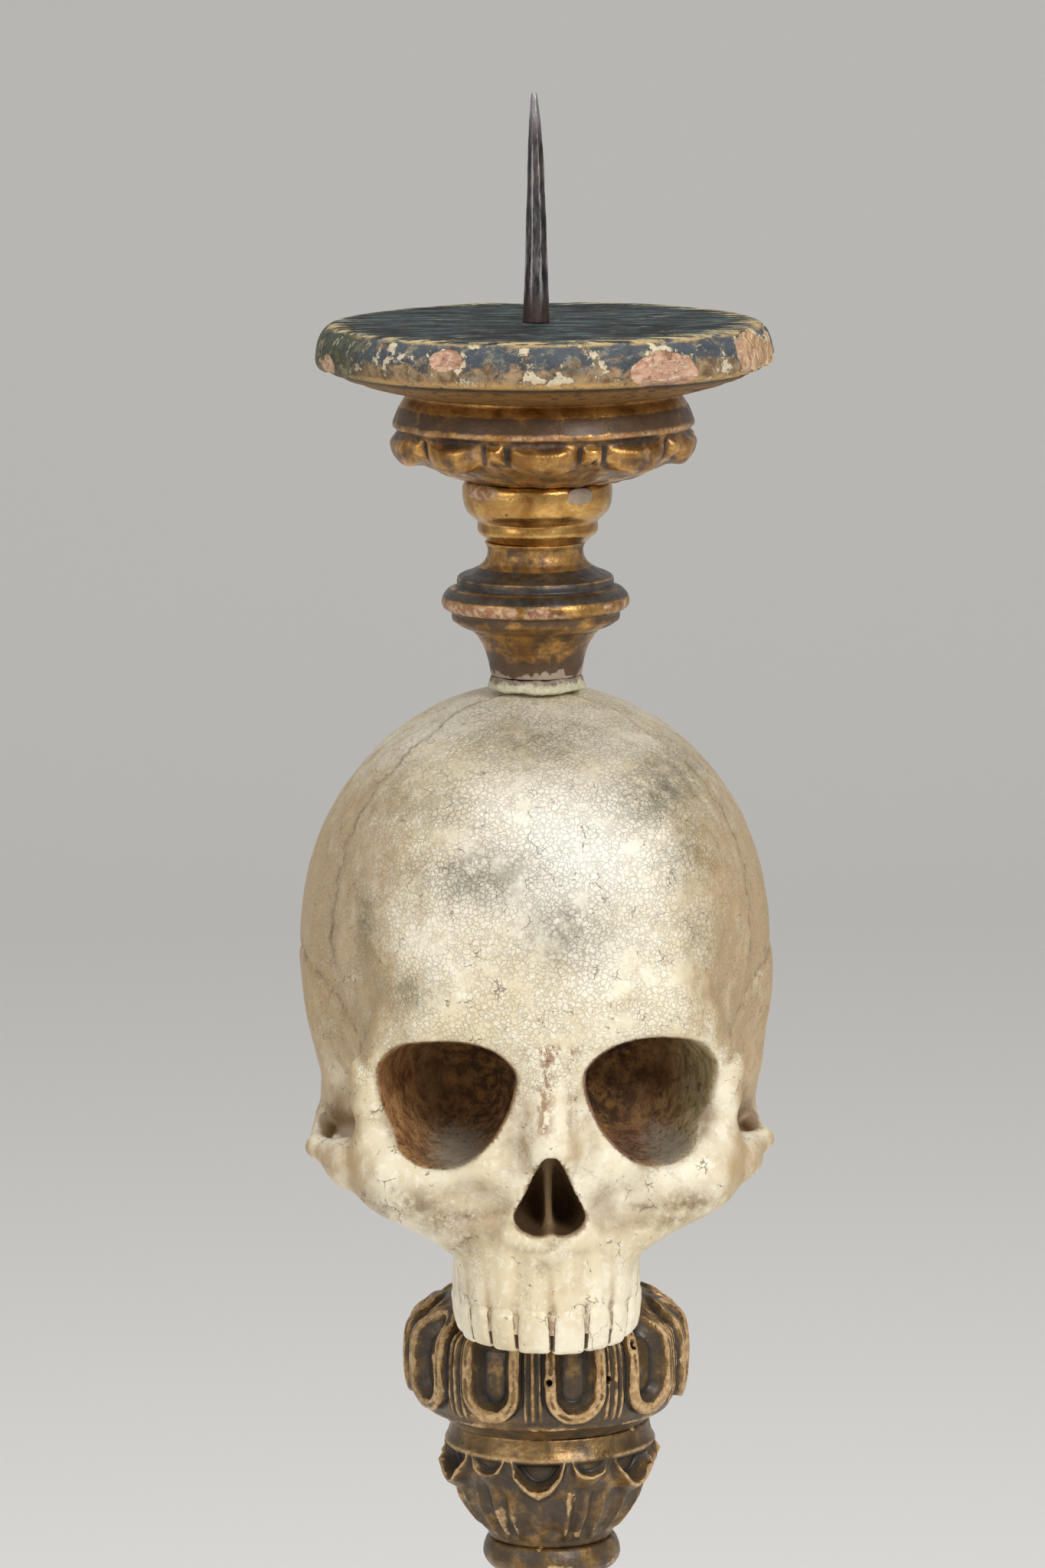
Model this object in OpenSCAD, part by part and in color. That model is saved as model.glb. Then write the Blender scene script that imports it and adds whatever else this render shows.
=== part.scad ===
// Pricket candlestick in carved and gilded wood, with a skull in the stem.
// Z is up, the stem's axis is the Z axis, the feet stand on Z = 0 and the skull looks along -Y.
// Every size is in millimetres. Heights in tables run from 0 at a piece's foot to 1 at its top.

/* [Pricket] */
// Length of the iron spike above the pan
pricket_h = 59; // [30:1:90]
// Width of the spike across its flats where it leaves the pan
pricket_w = 6.6; // [5:0.2:9]
// Length of the round shank that is driven into the wood
shank_l = 24; // [14:1:30]
// Diameter of the round shank
shank_d = 7; // [5:0.2:8]

/* [Drip pan] */
// Diameter of the pan at its widest
pan_d = 119; // [100:1:150]
// Height of the pan from the collar to its flat top
pan_h = 19; // [15:0.5:26]

/* [Pan collar] */
// Diameter over the carved lobes
collar_d = 81.6; // [70:0.2:96]
// Height of the collar
collar_h = 22; // [18:0.5:30]
// Number of large lobes around the collar
collar_lobes = 9; // [6:1:12]
// How far the lobes stand out of their grooves
lobe_depth = 3; // [1:0.25:4]

/* [Neck] */
// Diameter of the burnished bulb
bulb_d = 38.8; // [32:0.2:46]
// Height of the bulb with its fillet
bulb_h = 16; // [12:0.5:22]
// Diameter of the ring on the neck
neck_ring_d = 49; // [42:0.5:58]
// Height of the neck with its ring
neck_h = 35; // [28:0.5:45]
// Diameter of the bead of filler on the crown
bead_d = 25.8; // [25:0.2:26.8]
// Height of the bead of filler
bead_h = 4; // [3:0.25:6]
// How deep the bead is let into the round of the crown
crown_sink = 1.6; // [1.4:0.1:2.5]

/* [Skull] */
// Width of the skull over the cheek arches
skull_w = 123; // [110:1:135]
// Depth of the skull from brow to back
skull_d = 148; // [135:1:160]
// Height of the skull from its seat to the crown
crown_h = 156; // [145:1:170]
// How far the teeth hang below the seat
teeth_drop = 6.4; // [4:0.2:9]
// Diameter of the flat under the skull
seat_d = 66; // [58:1:76]
// Number of teeth
teeth = 14; // [10:2:16]

/* [Gadroon cup] */
// Diameter of the cup over its oval panels
cup_d = 76.8; // [68:0.2:90]
// Height of the cup
cup_h = 38.5; // [34:0.5:52]
// Number of oval panels around the cup
cup_panels = 10; // [8:1:12]
// Depth of the oval panels
panel_depth = 3; // [1:0.25:4]

/* [Leaf vase] */
// Diameter of the vase at its upper flange
vase_d = 56; // [50:0.5:64]
// Height of the vase
vase_h = 32; // [24:0.5:36]
// Number of large leaves around the vase
vase_leaves = 6; // [5:1:8]
// How far the leaf tips curl out
leaf_depth = 3; // [1:0.25:4]
// Diameter of the ring under the vase
knop_d = 36.6; // [34:0.2:44]
// Height of the ring under the vase
knop_h = 9.5; // [7:0.5:14]

/* [Baluster] */
// Diameter of the pear shaped stem at its belly
baluster_d = 57; // [48:1:70]
// Height of the pear shaped stem
baluster_h = 87; // [70:1:120]
// Diameter of the ring under the stem
lower_ring_d = 52; // [44:1:60]
// Height of the ring under the stem
lower_ring_h = 11; // [8:0.5:16]

/* [Base] */
// Diameter of the round cap on the pedestal
cap_d = 74; // [66:1:84]
// Height of the round cap
cap_h = 12; // [9:0.5:18]
// Height of the three sided pedestal
pedestal_h = 67; // [50:1:90]
// Reach of the pedestal's corners from the axis, before they are blunted
pedestal_reach = 91; // [80:1:94]
// Height of the plinth
plinth_h = 13; // [10:0.5:20]
// Reach of the plinth's corners from the axis, before they are blunted
plinth_reach = 105; // [100:1:125]
// Diameter of the bun feet
foot_d = 38; // [32:1:42]
// Height of the bun feet
foot_h = 30; // [22:1:38]
// Distance of each foot from the axis
foot_reach = 70; // [64:1:74]

/* [Joinery] */
// Diameter of the dowels through the neck, the cup and the base
dowel_d = 12; // [8:0.5:13]
// Length of the dowels through the neck, the cup and the base
dowel_l = 40; // [30:1:44]
// Diameter of the tenons turned on the pieces
tenon_d = 16; // [12:0.5:18]
// Length of the short tenons
tenon_l = 8; // [5:0.5:9]
// Diameter of the dowels in the feet
peg_d = 9; // [6:0.5:12]
// Length of the dowels in the feet
peg_l = 22; // [16:1:24]
// Play around a tenon, dowel or shank in its bore
fit_gap = 0.15; // [0.1:0.05:0.3]
// Room left between the end of a tenon, dowel or shank and the bottom of its bore
end_gap = 0.5; // [0.25:0.25:1]

/* [Hidden] */
$fn = 96;

// Levels of the joints between the pieces, from the table up
plinth_z = foot_h;
pedestal_z = plinth_z + plinth_h;
cap_z = pedestal_z + pedestal_h;
lower_ring_z = cap_z + cap_h;
baluster_z = lower_ring_z + lower_ring_h;
knop_z = baluster_z + baluster_h;
vase_z = knop_z + knop_h;
cup_z = vase_z + vase_h;
skull_z = cup_z + cup_h;
bead_z = skull_z + crown_h;
neck_z = bead_z + bead_h;
bulb_z = neck_z + neck_h;
collar_z = bulb_z + bulb_h;
pan_z = collar_z + collar_h;
pan_top_z = pan_z + pan_h;

// Half of the dowels' length goes into each of the two pieces that they join
dowel_half = dowel_l / 2;
neck_dowel_z = neck_z - bead_h / 2 - dowel_half;
cup_dowel_z = skull_z - dowel_half;
base_dowel_z = plinth_z + end_gap;
// The long tenon under the vase goes through the ring into the baluster
long_tenon_l = knop_h + tenon_l;
// The long tenon under the baluster goes through the lower ring and the cap into the pedestal
foot_tenon_l = lower_ring_h + cap_h + tenon_l;
slim_tenon_d = tenon_d * 3 / 4;
peg_half = peg_l / 2;
// How far a cut runs past the face that it opens, and a tenon into the piece that it is turned on
overrun = 1;

// Outlines of the turned pieces, as height share and radius share
pricket_shares = [[0, 1], [0.43, 0.78], [0.68, 0.6], [0.86, 0.5], [0.96, 0.34], [1, 0.2]];
pan_shares = [
    [0, 0.6], [0.06, 0.635], [0.11, 0.7], [0.155, 0.76], [0.2, 0.805], [0.24, 0.832],
    [0.31, 0.88], [0.375, 0.941], [0.4, 0.97], [0.43, 0.987], [0.55, 1], [0.76, 0.992],
    [0.84, 0.982], [0.92, 0.961], [0.97, 0.943], [1, 0.916]
];
collar_shares = [
    [0, 0.515], [0.05, 0.59], [0.1, 0.67], [0.14, 0.7], [0.2, 0.77], [0.28, 0.83], [0.38, 0.88],
    [0.46, 0.9], [0.57, 0.9], [0.64, 0.91], [0.67, 0.965], [0.72, 0.975], [0.77, 0.95], [0.8, 0.925],
    [0.87, 0.905], [0.94, 0.9], [0.96, 0.915], [1, 0.915]
];
bulb_shares = [
    [0, 0.685], [0.08, 0.73], [0.13, 0.785], [0.19, 0.804], [0.28, 0.804], [0.33, 0.8],
    [0.43, 0.9], [0.53, 0.965], [0.63, 0.985], [0.78, 1], [0.93, 0.99], [1, 0.96]
];
neck_shares = [
    [0, 0.48], [0.03, 0.49], [0.11, 0.51], [0.19, 0.543], [0.23, 0.57], [0.3, 0.63], [0.35, 0.7],
    [0.37, 0.79], [0.39, 0.833], [0.42, 0.85], [0.46, 0.9], [0.485, 0.963], [0.51, 0.984],
    [0.555, 1], [0.62, 0.95], [0.67, 0.87], [0.715, 0.816], [0.74, 0.775], [0.78, 0.66],
    [0.83, 0.58], [0.88, 0.51], [0.92, 0.504], [0.97, 0.515], [1, 0.54]
];
bead_shares = [[0, 1], [0.3, 0.99], [0.6, 0.97], [0.85, 0.965], [1, 0.95]];
cup_shares = [
    [0, 0.69], [0.03, 0.73], [0.06, 0.775], [0.1, 0.82], [0.135, 0.855], [0.17, 0.885],
    [0.2, 0.905], [0.27, 0.925], [0.37, 0.935], [0.5, 0.935], [0.6, 0.93], [0.66, 0.92],
    [0.7, 0.89], [0.745, 0.83], [0.79, 0.78], [0.84, 0.72], [0.89, 0.66], [0.94, 0.62], [1, 0.6]
];
vase_shares = [
    [0, 0.57], [0.055, 0.595], [0.11, 0.65], [0.2, 0.725], [0.27, 0.785], [0.345, 0.835],
    [0.445, 0.872], [0.53, 0.9], [0.62, 0.92], [0.72, 0.935], [0.78, 0.96], [0.825, 1],
    [0.88, 0.965], [0.94, 0.945], [1, 0.94]
];
knop_shares = [
    [0, 0.74], [0.05, 0.77], [0.2, 0.91], [0.4, 0.98], [0.53, 1], [0.74, 0.98], [0.93, 0.945],
    [1, 0.91]
];
baluster_shares = [
    [0, 0.62], [0.03, 0.64], [0.055, 0.6], [0.07, 0.53], [0.1, 0.56], [0.16, 0.73], [0.24, 0.9],
    [0.32, 0.985], [0.38, 1], [0.45, 0.97], [0.55, 0.84], [0.65, 0.68], [0.75, 0.55],
    [0.85, 0.465], [0.93, 0.43], [0.97, 0.445], [1, 0.475]
];
lower_ring_shares = [
    [0, 0.8], [0.1, 0.83], [0.2, 0.95], [0.4, 1], [0.6, 0.99], [0.8, 0.88], [0.9, 0.78], [1, 0.75]
];
cap_shares = [
    [0, 0.9], [0.1, 0.96], [0.25, 1], [0.4, 0.99], [0.5, 0.93], [0.55, 0.86], [0.7, 0.76],
    [0.85, 0.7], [1, 0.68]
];
pedestal_shares = [
    [0, 1], [0.05, 1], [0.08, 0.95], [0.14, 0.82], [0.24, 0.68], [0.38, 0.565], [0.55, 0.48],
    [0.72, 0.43], [0.86, 0.41], [0.93, 0.42], [1, 0.46]
];
foot_shares = [
    [0, 0.6], [0.05, 0.7], [0.15, 0.84], [0.3, 0.96], [0.42, 1], [0.55, 0.97], [0.68, 0.86],
    [0.78, 0.68], [0.82, 0.62], [0.88, 0.64], [0.93, 0.74], [1, 0.78]
];

// Plinth steps, as height share at the foot, height share at the top and reach share
plinth_step_shares = [[0, 0.55, 1], [0.55, 0.7, 0.965], [0.7, 0.85, 0.93], [0.85, 1, 0.88]];
// The three sided plan: reach share of the middle of a side, of its hollow and of a blunt corner
side_share = 0.5;
hollow_share = 0.1;
corner_share = 0.876;
// Part of the three sided plan that shows at the foot and at the top of the pedestal
plan_blend_shares = [[0, 1], [0.3, 0.9], [1, 0.3]];
corner_angle = 120;

// Turn, in degrees, of the first carved repeat from the front of the stem
cup_angle = 10;
vase_angle = -7;
// Directions of the front and the back of the stem, in degrees
front_angle = -90;
back_angle = 90;

// Carved lumps, as reach share of the piece's radius and height share of the piece at their
// middle, then their half sizes outwards as a share of the carving's depth, around as a share of
// the repeat and upwards as a share of the height, and their lean
lobe_shares = [0.86, 0.42, 2, 0.4, 0.25, 14];
knuckle_shares = [0.87, 0.42, 1.7, 0.11, 0.22, 14];
panel_rim_shares = [0.87, 0.5, 1.7, 0.36, 0.38, 0];
panel_cut_shares = [1.045, 0.5, 1.7, 0.23, 0.28, 0];
rib_shares = [0.9, 0.48, 1.1, 0.035, 0.32, 0];
rib_place_share = 0.455;
leaf_shares = [0.8, 0.39, 1, 0.33, 0.39, 17];
leaf_tip_shares = [0.91, 0.66, 1, 0.24, 0.09, 40];
leaf_cut_shares = [1.04, 0.52, 0.8, 0.1, 0.11, 25];
small_leaf_shares = [0.77, 0.32, 0.9, 0.17, 0.33, 17];
small_leaf_tip_shares = [0.88, 0.62, 0.8, 0.14, 0.065, 40];

// Sides of the carved lumps, and rows and columns of the pedestal
lump_sides = 12;
rib_sides = 8;
core_sides = 42;
pedestal_rows = 16;
pedestal_columns = 72;

// The skull is worked out at any size and brought to its real size afterwards. Places and radii
// are shares of its height: X to the side, Y to the back and Z up from the seat.
// Rounded masses of bone, as middle, radii and how softly each joins the rest
bone_shares = [
    // brain case, forehead, back and nape
    [[0, 0.038, 0.566], [0.384, 0.444, 0.414], 0.02],
    [[0.1, -0.125, 0.625], [0.25, 0.29, 0.29], 0.1],
    [[0, 0.19, 0.55], [0.356, 0.288, 0.31], 0.09],
    [[0, 0.21, 0.31], [0.22, 0.21, 0.17], 0.1],
    // seat, mastoid and side of the head
    [[0, 0.04, 0.14], [0.14, 0.21, 0.175], 0.075],
    [[0.275, 0.09, 0.25], [0.05, 0.07, 0.08], 0.05],
    [[0.26, 0.025, 0.39], [0.106, 0.22, 0.175], 0.075],
    // middle of the face, and the jaw that carries the teeth
    [[0, -0.21, 0.325], [0.25, 0.18, 0.17], 0.05],
    [[0, -0.26, 0.075], [0.16, 0.162, 0.175], 0.045]
];
// Rounded bars of bone, as both ends, both radii and how softly each joins the rest
bar_shares = [
    // brow, outer rim of the socket and its lower end
    [[0.04, -0.375, 0.5], [0.19, -0.358, 0.505], 0.046, 0.04, 0.06],
    [[0.19, -0.358, 0.505], [0.28, -0.3, 0.456], 0.038, 0.028, 0.045],
    [[0.292, -0.296, 0.437], [0.295, -0.275, 0.35], 0.026, 0.023, 0.025],
    [[0.295, -0.275, 0.35], [0.294, -0.262, 0.27], 0.023, 0.044, 0.037],
    // cheek bone, upper jaw beside the nose and bridge of the nose
    [[0.33, -0.2, 0.247], [0.24, -0.294, 0.225], 0.038, 0.06, 0.045],
    [[0.24, -0.294, 0.225], [0.14, -0.325, 0.175], 0.06, 0.062, 0.05],
    [[0.066, -0.362, 0.437], [0.08, -0.356, 0.275], 0.031, 0.056, 0.045],
    [[0, -0.387, 0.456], [0, -0.428, 0.312], 0.04, 0.029, 0.045]
];
// Soft hollows, as middle, radii and how softly each is cut
hollow_shares = [
    // temple, below the cheek, and between the jaw and the seat
    [[0.41, -0.225, 0.388], [0.087, 0.137, 0.175], 0.075],
    [[0.319, -0.262, 0.025], [0.15, 0.287, 0.125], 0.045],
    [[0.23, -0.075, 0.05], [0.094, 0.15, 0.137], 0.05],
    // dimple of the upper jaw, and the palate
    [[0.137, -0.412, 0.197], [0.04, 0.044, 0.031], 0.045],
    [[0, -0.225, -0.05], [0.085, 0.15, 0.07], 0.025]
];
// Level at which the bone ends above the edge of the teeth
gum_low_share = -0.012;
// Eye socket: middle, radii, and its turns towards the nose and the temple
socket_share = [0.171, -0.362, 0.366];
socket_radii_share = [0.098, 0.21, 0.097];
socket_turn = [0, 12, 14];
// Opening of the nose, as middles and radii of its cuts
nose_shares = [
    [[0.026, -0.42, 0.182], [0.033, 0.12, 0.041]], [[0.015, -0.42, 0.215], [0.031, 0.12, 0.045]],
    [[0, -0.42, 0.25], [0.028, 0.12, 0.055]]
];
// Point inside the skull that sees its whole outside, and the nearest and farthest bone from it
heart_share = [0, -0.06, 0.42];
near_share = 0.08;
far_share = 0.66;
// Halvings of the search for the surface
search_steps = 11;
least = 0.01;
// Soft crease of the two halves at the middle
crease_share = 0.05;
// Columns in one half of the skull, and how much closer they lie in the face
half_columns = 34;
face_crowding = 0.55;
// Height angles of the rows: coarse below, fine over the face, coarse over the crown
row_angles = concat(
    [for (a = [-84 : 5 : -64]) a],
    [for (a = [-60 : 2.8 : 12]) a],
    [for (a = [17 : 6 : 83]) a]
);
// Cheek arch, as places along it with their radii
arch_shares = [
    [[0.32, -0.22, 0.25], 0.037], [[0.357, -0.13, 0.262], 0.027], [[0.358, -0.03, 0.27], 0.025],
    [[0.305, 0.1, 0.28], 0.035]
];
// Row of teeth: side and front reach of the arch, its middle, and the arc between two teeth
teeth_side_share = 0.129;
teeth_front_share = 0.157;
teeth_mid_share = -0.247;
teeth_angle = 15.5;
tooth_w_share = 0.056;
tooth_t_share = 0.036;
tooth_low_share = -0.04;
tooth_shares = [[0, 0.78], [0.08, 0.95], [0.3, 1], [0.48, 0.86], [0.6, 0.7], [1, 0.25]];
tooth_h_share = 0.125;
tooth_taper = 0.035;
tooth_sides = 8;
arch_sides = 16;
cut_sides = 24;

// Place of an angle within one of n repeats, from -1/2 to 1/2
function within(angle, n) = let (t = angle * n / 360) t - round(t);

// Three sided plan with hollow sides and blunt corners, as a reach share
function three_sided(angle) =
    let (t = abs(within(angle - front_angle, 3)) * corner_angle)
    min(corner_share, side_share / cos(t) * (1 - hollow_share * cos(t * 3 / 2)));

// Points of the three sided plan
function plan(reach) = [
    for (i = [0 : pedestal_columns - 1])
        let (a = 360 * i / pedestal_columns, r = reach * three_sided(a)) [r * cos(a), r * sin(a)]
];

// Distance from a rounded mass, and from a rounded bar, below zero inside
function mass_gap(p, mid, radii) =
    let (q = [for (i = [0 : 2]) (p[i] - mid[i]) / radii[i]])
    let (k = norm(q))
    k * (k - 1) / max(least, norm([for (i = [0 : 2]) q[i] / radii[i]]));
function bar_gap(p, a, b, ra, rb) =
    let (v = b - a, t = min(1, max(0, (p - a) * v / (v * v))))
    norm(p - a - t * v) - ra - (rb - ra) * t;

// Soft union of two distances, over the width k
function soft(a, b, k) =
    let (h = min(1, max(0, (1 + (b - a) / k) / 2)))
    b * (1 - h) + a * h - k * h * (1 - h);

// Distance from the bone after each table, one line at a time
function add_masses(p, d, i = 0) =
    i == len(bone_shares) ? d :
    add_masses(p, soft(d, mass_gap(p, bone_shares[i][0], bone_shares[i][1]), bone_shares[i][2]), i + 1);
function add_bars(p, d, i = 0) =
    i == len(bar_shares) ? d :
    let (b = bar_shares[i])
    add_bars(p, soft(d, bar_gap(p, b[0], b[1], b[2], b[3]), b[4]), i + 1);
function cut_hollows(p, d, i = 0) =
    i == len(hollow_shares) ? d :
    let (c = hollow_shares[i])
    cut_hollows(p, -soft(-d, mass_gap(p, c[0], c[1]), c[2]), i + 1);
function bone_gap(p) =
    let (q = [norm([p.x, crease_share]), p.y, p.z])
    max(gum_low_share - p.z, cut_hollows(q, add_bars(q, add_masses(q, 1))));

// Reach of the bone from its heart along a direction, by halving
function bone_reach(way, near, far, steps) =
    steps == 0 ? (near + far) / 2 :
    let (mid = (near + far) / 2)
    bone_gap(heart_share + way * mid) < 0
        ? bone_reach(way, mid, far, steps - 1)
        : bone_reach(way, near, mid, steps - 1);

// Turn from the face of one column, crowded towards the face
function column_turn(i) =
    let (s = i / half_columns)
    180 * s * (1 - face_crowding + face_crowding * s * s);

// Direction of a turn from the face and a height angle
function way_of(turn, rise) = [sin(turn) * cos(rise), -cos(turn) * cos(rise), sin(rise)];

// Points of one half of the skull, by row
function half_bone() = [
    for (rise = row_angles) [
        for (i = [0 : half_columns])
            let (way = way_of(column_turn(i), rise))
            heart_share + way * bone_reach(way, near_share, far_share, search_steps)
    ]
];

// One row with its mirrored half
function whole_row(row) = concat(
    row,
    [for (i = [half_columns - 1 : -1 : 1]) [-row[i].x, row[i].y, row[i].z]]
);

// A closed skin over rows of points that run counterclockwise, seen from above
module skin(rows) {
    n = len(rows[0]);
    m = len(rows);
    low = m * n;
    polyhedron(
        points = concat([for (row = rows) each row], [centre_of(rows[0]), centre_of(rows[m - 1])]),
        faces = concat(
            [for (j = [0 : m - 2], i = [0 : n - 1]) [j * n + i, (j + 1) * n + i, j * n + (i + 1) % n]],
            [
                for (j = [0 : m - 2], i = [0 : n - 1])
                    [j * n + (i + 1) % n, (j + 1) * n + i, (j + 1) * n + (i + 1) % n]
            ],
            [for (i = [0 : n - 1]) [low, i, (i + 1) % n]],
            [for (i = [0 : n - 1]) [low + 1, (m - 1) * n + (i + 1) % n, (m - 1) * n + i]]
        ),
        convexity = 8
    );
}

// Mean of a row of points
function centre_of(row) = [for (k = [0 : 2]) [for (p = row) p[k]] * [for (p = row) 1] / len(row)];

// A turned body from its outline
module turned(shares, radius, height, sides = $fn) {
    rotate_extrude($fn = sides)
        polygon(concat(
            [[0, 0]],
            [for (s = shares) [s[1] * radius, s[0] * height]],
            [[0, height]]
        ));
}

// A bore from the level low to the level high, with its play
module bore(d, low, high) {
    translate([0, 0, low])
        cylinder(d = d + 2 * fit_gap, h = high - low);
}

// A round tenon between two levels
module tenon(d, low, high) {
    translate([0, 0, low])
        cylinder(d = d, h = high - low);
}

module pricket() {
    color("dimgray")
        translate([0, 0, pan_top_z]) {
            // eight sided forged spike with a worn tip
            rotate(180 / 8)
                rotate_extrude($fn = 8)
                    polygon(concat(
                        [[0, 0]],
                        [for (s = pricket_shares) [s[1] * pricket_w / 2 / cos(180 / 8), s[0] * pricket_h]],
                        [[0, pricket_h]]
                    ));
            tenon(shank_d, -shank_l, 0);
        }
}

module drip_pan() {
    color("darkslategray")
        difference() {
            translate([0, 0, pan_z])
                turned(pan_shares, pan_d / 2, pan_h);
            bore(shank_d, pan_z - overrun, pan_top_z + overrun);
            bore(tenon_d, pan_z - overrun, pan_z + tenon_l + end_gap);
        }
}

// One carved lump on a piece of this radius and height, of n around it, standing out by depth
module lump(shares, radius, height, n, depth, sides = lump_sides) {
    translate([shares[0] * radius, 0, shares[1] * height])
        rotate([0, shares[5], 0])
            scale([shares[2] * depth, shares[3] * 2 * PI * radius / n, shares[4] * height])
                sphere(r = 1, $fn = sides);
}

// Repeats a carved shape n times around the stem, the first one turned from the front
module repeated(n, turn) {
    for (i = [0 : n - 1])
        rotate(front_angle + turn + 360 * i / n)
            children();
}

// Collar with large lobes and a knuckle between each two
module carved_collar() {
    resize([0, 0, collar_h]) {
        turned(collar_shares, collar_d / 2, collar_h, core_sides);
        repeated(collar_lobes, 0)
            lump(lobe_shares, collar_d / 2, collar_h, collar_lobes, lobe_depth);
        repeated(collar_lobes, 180 / collar_lobes)
            lump(knuckle_shares, collar_d / 2, collar_h, collar_lobes, lobe_depth);
    }
}

module pan_collar() {
    color("darkgoldenrod")
        difference() {
            union() {
                translate([0, 0, collar_z])
                    carved_collar();
                tenon(tenon_d, pan_z - overrun, pan_z + tenon_l);
            }
            bore(shank_d, pan_top_z - shank_l - end_gap, pan_top_z);
            bore(tenon_d, collar_z - overrun, collar_z + tenon_l + end_gap);
        }
}

module neck_bulb() {
    color("goldenrod")
        difference() {
            union() {
                translate([0, 0, bulb_z])
                    turned(bulb_shares, bulb_d / 2, bulb_h);
                tenon(tenon_d, collar_z - overrun, collar_z + tenon_l);
            }
            bore(slim_tenon_d, bulb_z - overrun, bulb_z + tenon_l + end_gap);
        }
}

module neck_ring() {
    color("goldenrod")
        difference() {
            union() {
                translate([0, 0, neck_z])
                    turned(neck_shares, neck_ring_d / 2, neck_h);
                tenon(slim_tenon_d, bulb_z - overrun, bulb_z + tenon_l);
            }
            bore(dowel_d, neck_z - overrun, neck_dowel_z + dowel_l + end_gap);
        }
}

module filler_bead() {
    color("gray")
        difference() {
            translate([0, 0, bead_z])
                turned(bead_shares, bead_d / 2, bead_h);
            bore(dowel_d, bead_z - overrun, neck_z + overrun);
        }
}

module neck_dowel() {
    color("burlywood")
        tenon(dowel_d, neck_dowel_z, neck_dowel_z + dowel_l);
}

// Cheek arches of both sides
module cheek_arches() {
    for (side = [-1, 1], i = [0 : len(arch_shares) - 2])
        hull()
            for (s = [arch_shares[i], arch_shares[i + 1]])
                translate([side * s[0].x, s[0].y, s[0].z])
                    sphere(r = s[1], $fn = arch_sides);
}

// Row of teeth with their roots, smaller towards the back
module teeth_row() {
    for (i = [0 : teeth - 1])
        let (
            place = i - (teeth - 1) / 2,
            turn = teeth_angle * place,
            wear = 1 - tooth_taper * abs(place)
        )
            translate([
                teeth_side_share * sin(turn),
                teeth_mid_share - teeth_front_share * cos(turn),
                tooth_low_share
            ])
                rotate(turn)
                    scale([tooth_w_share * wear, tooth_t_share, tooth_h_share] / 2)
                        rotate(180 / tooth_sides)
                            turned(tooth_shares, 1, 2, tooth_sides);
}

// Eye sockets and the opening of the nose
module face_cuts() {
    for (side = [-1, 1]) {
        translate([side * socket_share.x, socket_share.y, socket_share.z])
            rotate([0, side * socket_turn.y, side * socket_turn.z])
                scale(socket_radii_share)
                    sphere(r = 1, $fn = cut_sides);
        for (s = nose_shares)
            translate([side * s[0].x, s[0].y, s[0].z])
                scale(s[1])
                    sphere(r = 1, $fn = cut_sides);
    }
}

module skull() {
    color("antiquewhite")
        difference() {
            translate([0, 0, skull_z])
                resize([skull_w, skull_d, crown_h + crown_sink + teeth_drop])
                    scale(skull_w) {
                        difference() {
                            skin([for (row = half_bone()) whole_row(row)]);
                            face_cuts();
                        }
                        cheek_arches();
                        teeth_row();
                    }
            // flat seats on the cup and under the bead
            tenon(seat_d, skull_z - teeth_drop - overrun, skull_z);
            tenon(bead_d + overrun, bead_z, bead_z + bead_h);
            bore(dowel_d, skull_z - overrun, cup_dowel_z + dowel_l + end_gap);
            bore(dowel_d, neck_dowel_z - end_gap, bead_z + overrun);
        }
}

module cup_dowel() {
    color("burlywood")
        tenon(dowel_d, cup_dowel_z, cup_dowel_z + dowel_l);
}

// Cup with oval panels in raised rims, and a pair of thin ribs between each two
module carved_cup() {
    resize([0, 0, cup_h])
        difference() {
            union() {
                turned(cup_shares, cup_d / 2, cup_h, core_sides);
                repeated(cup_panels, cup_angle)
                    lump(panel_rim_shares, cup_d / 2, cup_h, cup_panels, panel_depth);
                for (side = [-1, 1])
                    repeated(cup_panels, cup_angle + side * rib_place_share * 360 / cup_panels)
                        lump(rib_shares, cup_d / 2, cup_h, cup_panels, panel_depth, rib_sides);
            }
            repeated(cup_panels, cup_angle)
                lump(panel_cut_shares, cup_d / 2, cup_h, cup_panels, panel_depth);
        }
}

module gadroon_cup() {
    color("saddlebrown")
        difference() {
            union() {
                translate([0, 0, cup_z])
                    carved_cup();
                tenon(tenon_d, cup_z - tenon_l, cup_z + overrun);
            }
            bore(dowel_d, cup_dowel_z - end_gap, skull_z + overrun);
        }
}

// Vase with large leaves whose tips curl out, and small ones between
module carved_vase() {
    resize([0, 0, vase_h])
        difference() {
            union() {
                turned(vase_shares, vase_d / 2, vase_h, core_sides);
                for (s = [leaf_shares, leaf_tip_shares])
                    repeated(vase_leaves, vase_angle)
                        lump(s, vase_d / 2, vase_h, vase_leaves, leaf_depth);
                for (s = [small_leaf_shares, small_leaf_tip_shares])
                    repeated(vase_leaves, vase_angle + 180 / vase_leaves)
                        lump(s, vase_d / 2, vase_h, vase_leaves, leaf_depth);
            }
            repeated(vase_leaves, vase_angle)
                lump(leaf_cut_shares, vase_d / 2, vase_h, vase_leaves, leaf_depth);
        }
}

module leaf_vase() {
    color("saddlebrown")
        difference() {
            union() {
                translate([0, 0, vase_z])
                    carved_vase();
                tenon(slim_tenon_d, vase_z - long_tenon_l, vase_z + overrun);
            }
            bore(tenon_d, cup_z - tenon_l - end_gap, cup_z + overrun);
        }
}

module ring_knop() {
    color("saddlebrown")
        difference() {
            translate([0, 0, knop_z])
                turned(knop_shares, knop_d / 2, knop_h);
            bore(slim_tenon_d, knop_z - overrun, vase_z + overrun);
        }
}

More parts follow.
